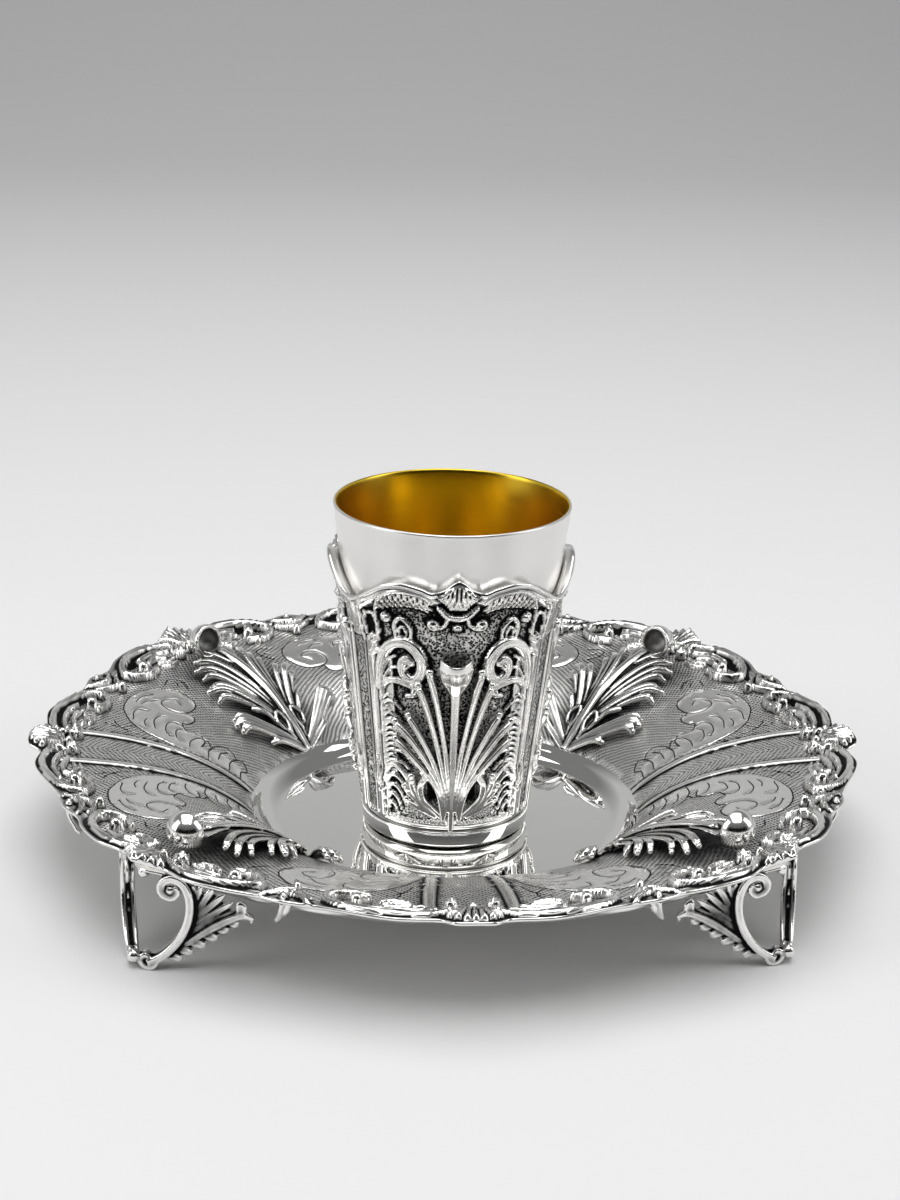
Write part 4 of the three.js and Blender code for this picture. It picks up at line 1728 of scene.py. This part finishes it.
def turned_up(name: str, profile: Sequence[Pair], columns: int, hole: bool = False) -> bpy.types.Object:
    """Turned piece, drawn from a circle by one extrusion for each step of its profile.

    Args:
        name: The piece's name.
        profile: Radius and height of each ring, starting and ending on the flat faces.
        columns: How many sides it has.
        hole: Whether the last ring joins the first, which leaves a hole through the middle.

    Returns:
        The new object.
    """
    bpy.ops.object.select_all(action="DESELECT")
    (radius, height), *rest = profile
    fill = "NOTHING" if hole else "NGON"
    bpy.ops.mesh.primitive_circle_add(
        vertices=columns, radius=radius * MM, fill_type=fill, location=(0, 0, height * MM)
    )
    item = bpy.context.object
    item.name = item.data.name = name
    bpy.ops.object.transform_apply(location=True)
    bpy.ops.object.mode_set(mode="EDIT")
    bpy.ops.mesh.select_mode(type="EDGE")
    bpy.ops.mesh.select_all(action="SELECT")
    if not hole:
        bpy.ops.mesh.region_to_loop()
    for new_radius, new_height in rest:
        rise = (0, 0, (new_height - height) * MM)
        bpy.ops.mesh.extrude_edges_move(TRANSFORM_OT_translate={"value": rise})
        grow = new_radius / radius
        bpy.ops.transform.resize(value=(grow, grow, 1), center_override=(0, 0, new_height * MM))
        radius, height = new_radius, new_height
    if not hole:
        bpy.ops.mesh.edge_face_add()
    bpy.ops.object.mode_set(mode="OBJECT")
    tidied(item)
    return item


@dataclass
class Sleeve:
    """The chased sleeve round the beaker: three panels of scrolls under a shell, between mouldings.

    The layout's first number is the angle from a panel's middle in degrees, its second the height.
    A panel is the same on both sides of its middle.

    Attributes:
        edge: Angle and height of the top edge, as the frame has them.
        degree: Length of one degree half-way up the sleeve.
        columns: Steps round the whole sleeve.
        rows: Points up the outside.
        lip: How far the top edge flares out.
        corner: Height at which the upright mouldings give way to the corner scrolls.
        roll: Width of the rolled moulding below the top edge.
        scrolls: Line, width, height and flute of each scroll.
    """

    edge: tuple[Pair, ...] = (
        (0, 79.2), (3, 78.3), (6, 76.9), (9, 76.1), (12, 75.7), (14, 75.9), (18, 76.7), (27, 77.4),
        (36, 76.5), (44, 74.2), (52, 71.6), (57, 70.5), (60, 70.2),
    )
    degree: float = 0.46
    columns: int = 372
    rows: int = 225
    lip: float = 1.35
    corner: float = 59.5
    roll: float = 3.2
    scrolls: tuple[tuple[tuple[Pair, ...], float, float, float], ...] = (
        # The large scrolls first.
        (
            ((44.5, 47.5), (43, 53.6), (38.5, 58.2), (31.5, 60.7), (23.8, 60.4), (18.2, 56.6), (19.0, 52.7),
             (23.8, 51.0), (28.4, 52.4), (29.4, 55.0), (26.8, 56.6), (23.9, 55.7)),
            3.3, 1.7, 0.24,
        ),
        (
            ((44, 44), (41, 48.6), (34, 50.2), (27.5, 49.7), (21.8, 48.6), (22.6, 46.9), (27, 46.4)),
            1.9, 1.35, 0.25,
        ),
        (((44.5, 34.6), (42, 37.6), (38, 38.7), (34.2, 38.0), (34.8, 36.4)), 1.9, 1.3, 0.25),
        # Lines that follow the large scroll on its inner side.
        (((44.3, 44.5), (42.2, 51), (37.6, 55.4), (33, 56.9)), 1.2, 1.1, 0.0),
        (((43.6, 43.5), (41, 49.6), (36.6, 53), (32.6, 53.8)), 1.1, 1.0, 0.0),
        # The fan in the lower corner.
        (((45, 21), (41.5, 25.4), (35.8, 26.4), (29.8, 24.2), (26, 20.8), (24.6, 18.2)), 1.9, 1.35, 0.3),
        (((45, 18.4), (41.6, 22.6), (36, 23.3), (31, 21.2), (28.2, 18.2)), 1.45, 1.05, 0.2),
        (((45, 15.8), (42, 19.8), (37.4, 20.5), (33.2, 18.8), (30.8, 16.2)), 1.4, 1.0, 0.2),
        (((45, 13.4), (42.4, 17.2), (38.8, 17.9), (35.4, 16.4), (33.6, 14)), 1.3, 0.95, 0.2),
        (((45, 11.2), (43, 14.5), (40, 15.3), (37.6, 14), (36.4, 12)), 1.2, 0.9, 0.2),
        # The cup under the shell, with its hooks.
        (((9, 71.2), (5.4, 69.3), (0, 68.6), (-5.4, 69.3), (-9, 71.2)), 1.9, 1.8, 0.2),
        (((5.4, 68.6), (5.8, 66.9), (8.4, 65.8), (11.4, 65.3)), 1.2, 1.35, 0.0),
        # The festoon under the edge, its petal and the corner.
        (
            ((12.6, 72.4), (17, 74.2), (25, 74.9), (33, 74.3), (39.5, 72), (43.4, 69), (43.6, 66)),
            1.2, 1.2, 0.0,
        ),
        (((31.8, 61.9), (33, 64.8), (30.2, 67.3), (26, 66.6), (23.4, 64), (24.4, 61.6)), 1.2, 1.25, 0.15),
        (((29.8, 62), (30.2, 64.4), (27.6, 65), (25.9, 62.8)), 0.9, 1.0, 0.0),
        (((47.4, 58.2), (43.6, 60.4), (43.2, 64.2), (46, 67), (50, 66.6)), 1.3, 1.3, 0.2),
        (((54, 59.6), (55.6, 63.4), (54.6, 67.6), (51, 70), (46.6, 70.8)), 1.5, 1.3, 0.25),
        (((51.6, 61), (52.6, 64), (51.6, 67)), 1.1, 1.0, 0.0),
        (((48.4, 56), (44.4, 57.4), (38.6, 57.6)), 2.4, 1.5, 0.0),
    )

    def mm(self, points: Sequence[Pair]) -> list[Pair]:
        """A line with its angles turned into lengths."""
        return [(angle * self.degree, height) for angle, height in points]

    def worked(
        self, angle: np.ndarray, z: np.ndarray, top: np.ndarray
    ) -> tuple[np.ndarray, np.ndarray, np.ndarray]:
        """Height of the relief, mark of the ground and shade on half a panel.

        Args:
            angle: Angle of each point from the panel's middle, from 0 to 60 degrees.
            z: Height of each point.
            top: Height of the sleeve's top edge above each point.

        Returns:
            The relief's height outwards from the sleeve's ground, how far each point is stippled
            from 0 to 1, and how much darker than its relief alone makes it each point has gone.
        """
        relief = Relief(np.column_stack([angle * self.degree, z]))
        below = top - z
        panel = np.clip(44.2 - angle, 0, 1) + (z > self.corner) * np.clip((57 - angle) / 2, 0, 1)
        panel = np.clip(panel, 0, 1) * np.clip((below - 3.0) / 1.4, 0, 1) * np.clip((z - 9.9) / 2, 0, 1)
        relief.height += 0.45 - 0.85 * panel
        # The leafy bed beside the leaf and along the top edge stands over the stippled ground.
        beside = (angle > 35) & (angle < 44) & (np.abs(z - 40) < 16.5)
        along = (angle > 14) & (angle < 42) & (below < 6.4)
        relief.height[beside | along] = np.maximum(relief.height[beside | along], 0.2)
        self.mouldings(relief, angle, z, below)
        for line, width, height, flute in self.scrolls:
            relief.ridge(self.mm(line), width, height, (0.8, 1.05, 0.7), flute, -0.25)
        self.ruffles(relief)
        # Short barbs hang from the top edge, longest half-way along it.
        for k in range(11):
            root = 13.8 + 2.6 * k
            start = float(smooth_keys(self.edge, np.array([root + 1.8]))[0]) - 3.3
            end = start - 2.5 - 0.03 * k * (10 - k)
            line = [(root + 1.8, start), (root + 0.9, start - 1.5), (root - 1.4, end)]
            relief.ridge(self.mm(line), 1.05, 1.2, (1, 1, 0.6), 0.0, -0.2)
        # The shell in the middle of the top edge.
        for rib in range(-4, 5):
            tip = float(smooth_keys(self.edge, np.array([abs(rib) * 2.1]))[0]) - 1.5
            line = [(rib * 0.9, 71.2), (rib * 1.5, 73.2), (rib * 2.15, tip)]
            relief.ridge(self.mm(line), 1.0, 2.0, (0.6, 0.9, 1.1))
        relief.ball((0.0, 66.0), 1.15, 1.3)
        relief.volute((11.8 * self.degree, 66.9), 1.8, 1.9, 200, 1.1)
        relief.volute((36.8 * self.degree, 67.0), 1.6, 1.7, 60, -1.0)
        relief.volute((47.0 * self.degree, 60.4), 1.7, 2.0, 100, 1.1)
        relief.ball((26.2 * self.degree, 54.6), 0.8, 1.9)
        relief.ball((22.4 * self.degree, 47.7), 0.95, 1.6)
        relief.ball((34.4 * self.degree, 37.2), 0.9, 1.5)
        plain = relief.height > 0.05
        # The foot of the sleeve is kept bright: its shade is lowered there, which clears its stored
        # darkness.
        shade = self.shaded(angle, z, relief.height) - 0.8 * (z < 11.8)
        strip = (angle > 55.2) & (below > self.roll) & (z < self.corner)
        return relief.height, np.maximum(np.where(plain, 0.0, panel), strip), shade

    def ruffles(self, relief: Relief) -> None:
        """Raise the barbs that spring from the upright moulding and curl in towards the leaf.

        Args:
            relief: The relief of half a panel.
        """
        for low, high, count, reach in ((35.6, 42.2, 5, 11.0), (22.6, 33.0, 8, 15.0)):
            for k, z in enumerate(np.linspace(low, high, count)):
                tip = 44.5 - reach - 3.0 * math.sin(k * 2.4)
                line = [(44.6, z - 1.6), (43.0, z + 1.8), (39.8, z + 3.4)]
                line += [(tip + 3.4, z + 3.2), (tip, z + 1.7)]
                relief.ridge(self.mm(line), 1.0, 0.95, (0.9, 1.05, 0.8), 0.0, -0.25)
                short = [(44.4, z - 0.6), (42.4, z + 1.6), (40.4, z + 2.0)]
                relief.ridge(self.mm(short), 0.8, 0.75, (0.9, 1, 0.7), 0.0, -0.25)

    def shaded(self, angle: np.ndarray, z: np.ndarray, height: np.ndarray) -> np.ndarray:
        """Painted shade on the ground where the leaf and the deep scrolls shade it, with the hatched side
        strip's own grey.

        Args:
            angle: Angle of each point from the panel's middle.
            z: Height of each point over the floor.
            height: Height of the relief at each point.

        Returns:
            A share from 0 to 1 for each point, 0 on high relief.
        """
        # Painted shade behind the leaf, under the festoon and the corner scroll, among the ruffles, and
        # darkest in the leaf's eye.
        leaf = np.exp(-((angle / 21) ** 4) - ((z - 44) / 17) ** 4)
        festoon = np.exp(-(((angle - 22) / 14) ** 4) - ((z - 69.5) / 3.2) ** 2)
        corner = np.exp(-(((angle - 47) / 7) ** 4) - ((z - 64) / 4) ** 4)
        ruffles = np.exp(-(((angle - 33) / 12) ** 4) - ((z - 40) / 16) ** 4)
        eye = np.exp(-(((angle - 12.4) / 3.6) ** 4) - ((z - 20.6) / 3.2) ** 4)
        # The hatched strip beside the panel is a little greyer of its own.
        strip = 0.12 * np.clip((angle - 54.6) / 0.8, 0, 1)
        shades = (0.42 * leaf, 0.26 * festoon, 0.36 * corner, 0.15 * ruffles, 0.9 * eye, strip)
        return np.maximum.reduce(shades) * np.clip(1 - (height + 0.1) / 0.7, 0, 1)

    def mouldings(self, relief: Relief, angle: np.ndarray, z: np.ndarray, below: np.ndarray) -> None:
        """Work the upright mouldings beside the panel and the rolled one along its top.

        Args:
            relief: The relief of half a panel.
            angle: Angle of each point from the panel's middle.
            z: Height of each point over the floor.
            below: How far each point lies below the top edge.
        """
        side = np.interp(
            angle,
            (43.4, 44.2, 45.0, 46.0, 46.6, 51.2, 51.9, 52.6, 53.4, 54.4, 55.2, 60),
            (0, 0.75, 0.1, 0.1, 0.72, 0.72, 0.05, 0.05, 0.9, 0.05, -0.1, -0.1),
        )
        upright = (angle > 43.4) & (below > self.roll) & (z < self.corner)
        relief.height[upright] = side[upright]
        # Past its last step the rolled moulding ends far under the ground, so it leaves that alone.
        rolled = np.interp(
            below,
            (0.0, 0.35, 0.9, 1.5, 2.0, 2.4, 2.9, 3.4, 4.2),
            (0.3, 0.75, 0.95, 0.75, 0.2, 0.3, 0.55, 0.2, -9),
        )
        relief.height = np.maximum(relief.height, rolled)
        # A drop on the broad band, with a groove on each side.
        relief.ridge(self.mm([(49, 19.4), (49, 22.6), (49, 26)]), 2.4, 0.75, (1.0, 0.9, 0.3), 0.0, 0.72)
        for way in (-1, 1):
            relief.cut(self.mm([(49, 18), (49 + 1.7 * way, 21.6), (49 + 0.7 * way, 27.4)]), 0.7, 0.5)

    def build(self, finishes: Finishes) -> bpy.types.Object:
        """Make the sleeve.

        Args:
            finishes: The metals of the set.

        Returns:
            The sleeve.
        """
        half = self.columns // 6
        angle = np.linspace(0, 60, half + 1)
        top = smooth_keys(self.edge, angle)
        share = np.linspace(0, 1, self.rows)
        z = SLEEVE_FOOT + (top[:, None] - SLEEVE_FOOT) * share
        angles = np.repeat(angle[:, None], self.rows, 1)
        tops = np.repeat(top[:, None], self.rows, 1)
        height, ground, shade = self.worked(angles.ravel(), z.ravel(), tops.ravel())
        flare = self.lip * np.exp(-(((tops - z) / 4.2) ** 2))
        base = beaker_radius(z) + SLEEVE_STAND_OFF
        foot = np.clip((z - SLEEVE_FOOT - 0.6) / 0.8, 0, 1)
        radius = base + flare + height.reshape(z.shape) * foot
        bead = 0.5 * np.sqrt(np.clip(1 - ((z - SLEEVE_FOOT - 0.55) / 0.55) ** 2, 0, 1))
        radius += 0.5 * bead
        low = [np.full_like(top, height) for height in (30, SLEEVE_FOOT)]
        inner_z = np.column_stack([top - 0.1, top - 1.0, top - 9.0, *low])
        inner_r = beaker_radius(inner_z) + 0.3
        inner_r[:, 0] = radius[:, -1] - 0.65
        r = np.column_stack([radius, inner_r])
        z = np.column_stack([z, inner_z])
        mark = np.column_stack([ground.reshape(radius.shape), np.zeros_like(inner_z)])
        shade = np.column_stack([shade.reshape(radius.shape), np.zeros_like(inner_z)])
        sections, marks, shades = [], [], []
        for panel in range(3):
            for turn, pick in ((angle, slice(0, -1)), (PANEL_ANGLE - angle, slice(None, 0, -1))):
                around = np.radians(turn[pick] + PANEL_ANGLE * panel - 90)[:, None]
                flat = [r[pick] * np.cos(around), r[pick] * np.sin(around)]
                sections.append(np.stack([*flat, z[pick]], axis=-1))
                marks.append(mark[pick])
                shades.append(shade[pick])
        grid = np.concatenate(sections)
        sleeve = new_object("sleeve", grid.reshape(-1, 3), wrapped_faces(*grid.shape[:2]))
        store(sleeve, "ground", np.concatenate(marks).ravel())
        # The painted shade is stored apart, and darken adds it to the oxide.
        store(sleeve, "shade", np.concatenate(shades).ravel())
        store(sleeve, "bare", np.tile(np.arange(grid.shape[1]) >= self.rows, len(grid)))
        tidied(sleeve, 0.0005)
        set_recess(sleeve, 0.4, 2.2, 0.14)
        darken(sleeve)
        self.lay_out(sleeve)
        smooth_shaded(sleeve)
        dressed(sleeve, "chased_silver", "cup_sleeve", finishes.chased_cup)
        return sleeve

    def lay_out(self, sleeve: bpy.types.Object) -> None:
        """Unroll the sleeve, so that its stippling has the same size all over.

        Args:
            sleeve: The sleeve.
        """
        points = places(sleeve)
        loops = np.empty(len(sleeve.data.loops), int)
        sleeve.data.loops.foreach_get("vertex_index", loops)
        around = np.arctan2(points[:, 1], points[:, 0])[loops].reshape(-1, 4)
        around = np.where(around - around[:, :1] > np.pi, around - 2 * np.pi, around)
        around = np.where(around - around[:, :1] < -np.pi, around + 2 * np.pi, around)
        layout = np.column_stack([around.ravel() * 25.0, points[loops, 2]]) * MM
        layer = sleeve.data.uv_layers.new(name="layout")
        layer.data.foreach_set("uv", layout.ravel())


@dataclass
class CupLeaves:
    """Cast acanthus leaf on each panel of the cup.

    The layout's first length is the height above the floor, its second to the side, its third out.

    Attributes:
        voxel: The finest detail that is kept.
    """

    voxel: float = 0.19

    def clay(self) -> Clay:
        """Half of the leaf's ribs, then their mirror image, the stem and the hood.

        Returns:
            The whole leaf, laid out flat.
        """
        clay = Clay()
        fingers = (
            (((15, 0.6), (24, 1.1), (34, 2.2), (46, 4.4), (54, 6.4)), (0.8, 2.0)),
            (((15, 1.0), (24, 2.0), (35, 4.2), (45, 7.0), (50.2, 9.1)), (0.8, 2.0)),
            (((14, 1.4), (23, 2.8), (31, 5.4), (38, 9.0), (41.6, 11.4)), (0.8, 1.9)),
            (((13, 1.7), (22, 3.2), (29, 6.2), (35.5, 10.8), (39.2, 15.0)), (0.9, 2.1)),
            (((12.5, 2.0), (20.5, 3.4), (26, 6.4), (31.5, 11.2), (34.4, 14.8)), (0.9, 1.9)),
        )
        for path, width in fingers:
            lifted = [(z, b, 0.8 + 0.9 * math.sin(k * 0.6)) for k, (z, b) in enumerate(path)]
            clay.finger(lifted, width, 1.5, 0.2, 1.15)
            clay.ball(lifted[-1], width[1] * 0.55)
        # Leafy ears that curl round an eye on each side of the stem; painted shade on the sleeve makes the
        # eye dark.
        ears = (
            [(12.4, 1.8, 0.5), (15.6, 4.6, 0.9), (18.6, 7.2, 1.3), (22.4, 7.6, 1.7), (25.8, 6.0, 1.6)],
            [(22.8, 3.8, 1.2), (24.8, 5.0, 1.6), (26.2, 7.2, 1.6)],
            [(16.6, 6.4, 0.8), (20.6, 9.4, 1.4), (24.6, 10.2, 1.6)],
            [(14.4, 4.4, 0.6), (17.6, 8.4, 1.0), (21.4, 12.0, 1.2)],
            [(13.2, 3.6, 0.5), (15.4, 7.4, 0.8), (17.6, 11.6, 1.0)],
        )
        for ear in ears:
            clay.finger(ear, (1.2, 2.1), 1.25, 0.3, 1.2)
            clay.ball(ear[-1], 1.05)
        clay.mirrored()
        stem = [(9.2, 0, 0.5), (14, 0, 0.9), (28, 0, 1.4), (40, 0, 1.9), (50, 0, 2.6)]
        clay.finger(stem, (1.4, 2.4), 1.2, 0.35)
        clay.shell([(9.2, 0, 0.4), (13, 0, 0.6), (18, 0, 0.7)], (1.0, 4.2, 5.2), 0.1, 0.8)
        hood = [(46.6, 0, 1.6), (49.4, 0, 3.4), (52.2, 0, 4.8), (54.8, 0, 5.3), (56.8, 0, 4.9)]
        clay.shell(hood, (1.8, 5.8, 7.6, 8.0, 7.8), 2.8, 0.9, 2.2)
        return clay

    def place(self, flat: np.ndarray) -> np.ndarray:
        """Wrap the leaf round the sleeve, facing the front.

        Args:
            flat: The leaf's points in its flat layout.

        Returns:
            The points in place.
        """
        z, side, out = flat.T
        radius = beaker_radius(z) + SLEEVE_STAND_OFF - 0.2
        turn = side / (radius + 1) - math.pi / 2
        return np.column_stack([(radius + out) * np.cos(turn), (radius + out) * np.sin(turn), z])

    def build(self, finishes: Finishes) -> None:
        """Make one leaf and its two copies.

        Args:
            finishes: The metals of the set.
        """
        first = self.clay().made("cup_leaf_front", self.place)
        fused(first, self.voxel)
        set_recess(first, 0.22, 0.9, 0.2)
        points = places(first)
        # The hood's stored darkness is lowered, so that it shows bright.
        amend(first, "oxide_and_shade", (points[:, 2] > 49.2) & (np.abs(points[:, 0]) < 4.2), 0.08)
        smooth_shaded(first)
        names = ("cup_leaf_right", "cup_leaf_left")
        items = [first] + [turned_copy(first, name, PANEL_ANGLE * (n + 1)) for n, name in enumerate(names)]
        for n, item in enumerate(items):
            dressed(item, "polished_silver", f"cup_leaf_{n + 1}", finishes.cast)


@dataclass
class BaseRing:
    """The plain foot ring, bright polished.

    Attributes:
        foot: Height of its underside over the floor.
        top: Height of its top.
        radius: Its outer radius.
        wall: Thickness of its wall.
    """

    foot: float = 3.9
    top: float = 8.7
    radius: float = 21.8
    wall: float = 1.6

    def build(self, finishes: Finishes) -> bpy.types.Object:
        """Turn the ring.

        Args:
            finishes: The metals of the set.

        Returns:
            The ring.
        """
        # How far each step of the outside stands out from the radius, and its height.
        outside = (
            (-1.4, self.foot), (-0.9, self.foot + 0.15), (-0.65, self.foot + 0.6),
            (-0.45, self.foot + 0.75), (-0.3, self.foot + 1.1), (-0.05, self.top - 1.4),
            (0.0, self.top - 0.9), (-0.15, self.top - 0.75), (-0.15, self.top - 0.6),
            (0.05, self.top - 0.45), (0.0, self.top - 0.2), (-0.3, self.top),
        )
        inner = self.radius - self.wall
        rings = [(self.radius + out, z) for out, z in outside]
        profile = [(inner, self.foot), *rings, (inner, self.top), (inner, self.foot)]
        item = turned_up("base_ring", profile, 144, hole=True)
        smooth_shaded(item, 50)
        dressed(item, "polished_silver", "cup_base_ring", finishes.mirror)
        return item


# --- Studio ---------------------------------------------------------------------------------


@dataclass(frozen=True)
class Lamp:
    """A soft box: where it stands, what it measures and how bright it is.

    Attributes:
        name: Its name.
        place: Where it hangs, in metres.
        size: Its width and length, in metres.
        watts: Its power.
    """

    name: str
    place: tuple[float, float, float]
    size: Pair
    watts: float

    def build(self) -> None:
        """Hang the lamp, facing the middle of the set."""
        data = bpy.data.lights.new(self.name, "AREA")
        data.shape = "RECTANGLE"
        data.size, data.size_y = self.size
        data.energy = self.watts
        lamp = bpy.data.objects.new(self.name, data)
        bpy.context.collection.objects.link(lamp)
        lamp.location = self.place
        middle = Vector((0, 0, 0.04))
        lamp.rotation_euler = (middle - lamp.location).to_track_quat("-Z", "Y").to_euler()


@dataclass
class Studio:
    """A pale sweep, soft boxes and the camera.

    Attributes:
        turn: How far the camera stands to the right of the front, in degrees.
        elevation: How far it looks down, in degrees.
        distance: How far it stands from its aim.
        aim: The point that it looks at.
        roll: How far it is rolled, in degrees.
        focal: Focal length of its lens.
    """

    turn: float = -4.04
    elevation: float = 18.9
    distance: float = 602.0
    aim: tuple[float, float, float] = (0.0, 0.0, 63.6)
    roll: float = 1.5
    focal: float = 70.9

    def camera(self) -> None:
        """Place the camera, a little left of the front and rolled a little."""
        turn, rise, roll = (math.radians(a) for a in (self.turn, self.elevation, self.roll))
        back = Vector((math.sin(turn) * math.cos(rise), -math.cos(turn) * math.cos(rise), math.sin(rise)))
        right = Vector((math.cos(turn), math.sin(turn), 0))
        up = back.cross(right)
        across = right * math.cos(roll) + up * math.sin(roll)
        up = up * math.cos(roll) - right * math.sin(roll)
        data = bpy.data.cameras.new("camera")
        data.lens = self.focal
        camera = bpy.data.objects.new("camera", data)
        bpy.context.collection.objects.link(camera)
        place = Vector(self.aim) * MM + back * self.distance * MM
        camera.matrix_world = Matrix.Translation(place) @ Matrix((across, up, back)).transposed().to_4x4()
        bpy.context.scene.camera = camera

    def floor(self) -> None:
        """Lay the floor and run it up into the background in one sweep."""
        run = [(-3.0, 0.0), (1.1, 0.0)]
        bend = [(1.1 + 0.9 * math.sin(a), 0.9 - 0.9 * math.cos(a)) for a in np.linspace(0.08, 0.8, 12)]
        line = [*run, *bend]
        points = np.array([(x, y, z) for y, z in line for x in (-4.0, 4.0)]) / MM
        faces = [(2 * i, 2 * i + 1, 2 * i + 3, 2 * i + 2) for i in range(len(line) - 1)]
        sweep = new_object("floor", points, faces)
        smooth_shaded(sweep)
        paper = bpy.data.materials.new("matt white paper")
        paper.use_nodes = True
        shader = paper.node_tree.nodes["Principled BSDF"]
        shader.inputs["Base Color"].default_value = linear(0xEDEDED)
        shader.inputs["Roughness"].default_value = 0.7
        sweep.data.materials.append(paper)

    def world(self) -> None:
        """Light the room evenly, greyer overhead, and leave it unlit low down in front of the set."""
        world = bpy.data.worlds.new("room")
        bpy.context.scene.world = world
        world.use_nodes = True
        tree = world.node_tree
        tree.nodes.clear()
        direction = node(tree, "ShaderNodeTexCoord").outputs["Generated"]
        parts = node(tree, "ShaderNodeSeparateXYZ", {0: direction})
        high = node(
            tree, "ShaderNodeMapRange", {"Value": parts.outputs["Z"], "From Min": 0.38, "From Max": 0.62}
        ).outputs["Result"]
        near = node(
            tree, "ShaderNodeMapRange", {"Value": parts.outputs["Y"], "From Min": -0.1, "From Max": -0.6}
        ).outputs["Result"]
        low = node(
            tree, "ShaderNodeMapRange", {"Value": parts.outputs["Z"], "From Min": 0.8, "From Max": 0.35}
        ).outputs["Result"]
        unlit = node(tree, "ShaderNodeMath", {0: near, 1: low}, operation="MULTIPLY").outputs[0]
        room = node(
            tree, "ShaderNodeMix", {0: high, 6: linear(0xFFFFFF), 7: linear(0xA8A8A8)}, data_type="RGBA"
        )
        colour = node(
            tree,
            "ShaderNodeMix",
            {0: unlit, 6: room.outputs[2], 7: linear(0x141414)},
            data_type="RGBA",
        )
        shade = node(tree, "ShaderNodeBackground", {"Color": colour.outputs[2], "Strength": 0.52})
        node(tree, "ShaderNodeOutputWorld", {"Surface": shade.outputs[0]})

    def build(self) -> None:
        """Set everything up."""
        self.camera()
        self.floor()
        self.world()
        for lamp in (
            Lamp("overhead soft box", (0.0, -0.02, 1.2), (1.0, 1.5), 11.6),
            Lamp("left soft box", (-0.9, -0.25, 0.55), (0.5, 0.9), 3.0),
            Lamp("right soft box", (0.9, -0.15, 0.6), (0.45, 0.8), 2.2),
        ):
            lamp.build()
        bpy.context.scene.view_settings.view_transform = "Standard"


def main() -> None:
    """Build the set piece by piece."""
    logging.basicConfig(level=logging.INFO, format="%(name)s: %(message)s")
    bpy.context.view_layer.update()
    Studio().build()
    finishes = all_finishes()
    for part in (Dish(), Rim(), SaucerLeaves(), Feet(), Beaker(), Sleeve(), CupLeaves(), BaseRing()):
        part.build(finishes)


if __name__ == "__main__":
    main()
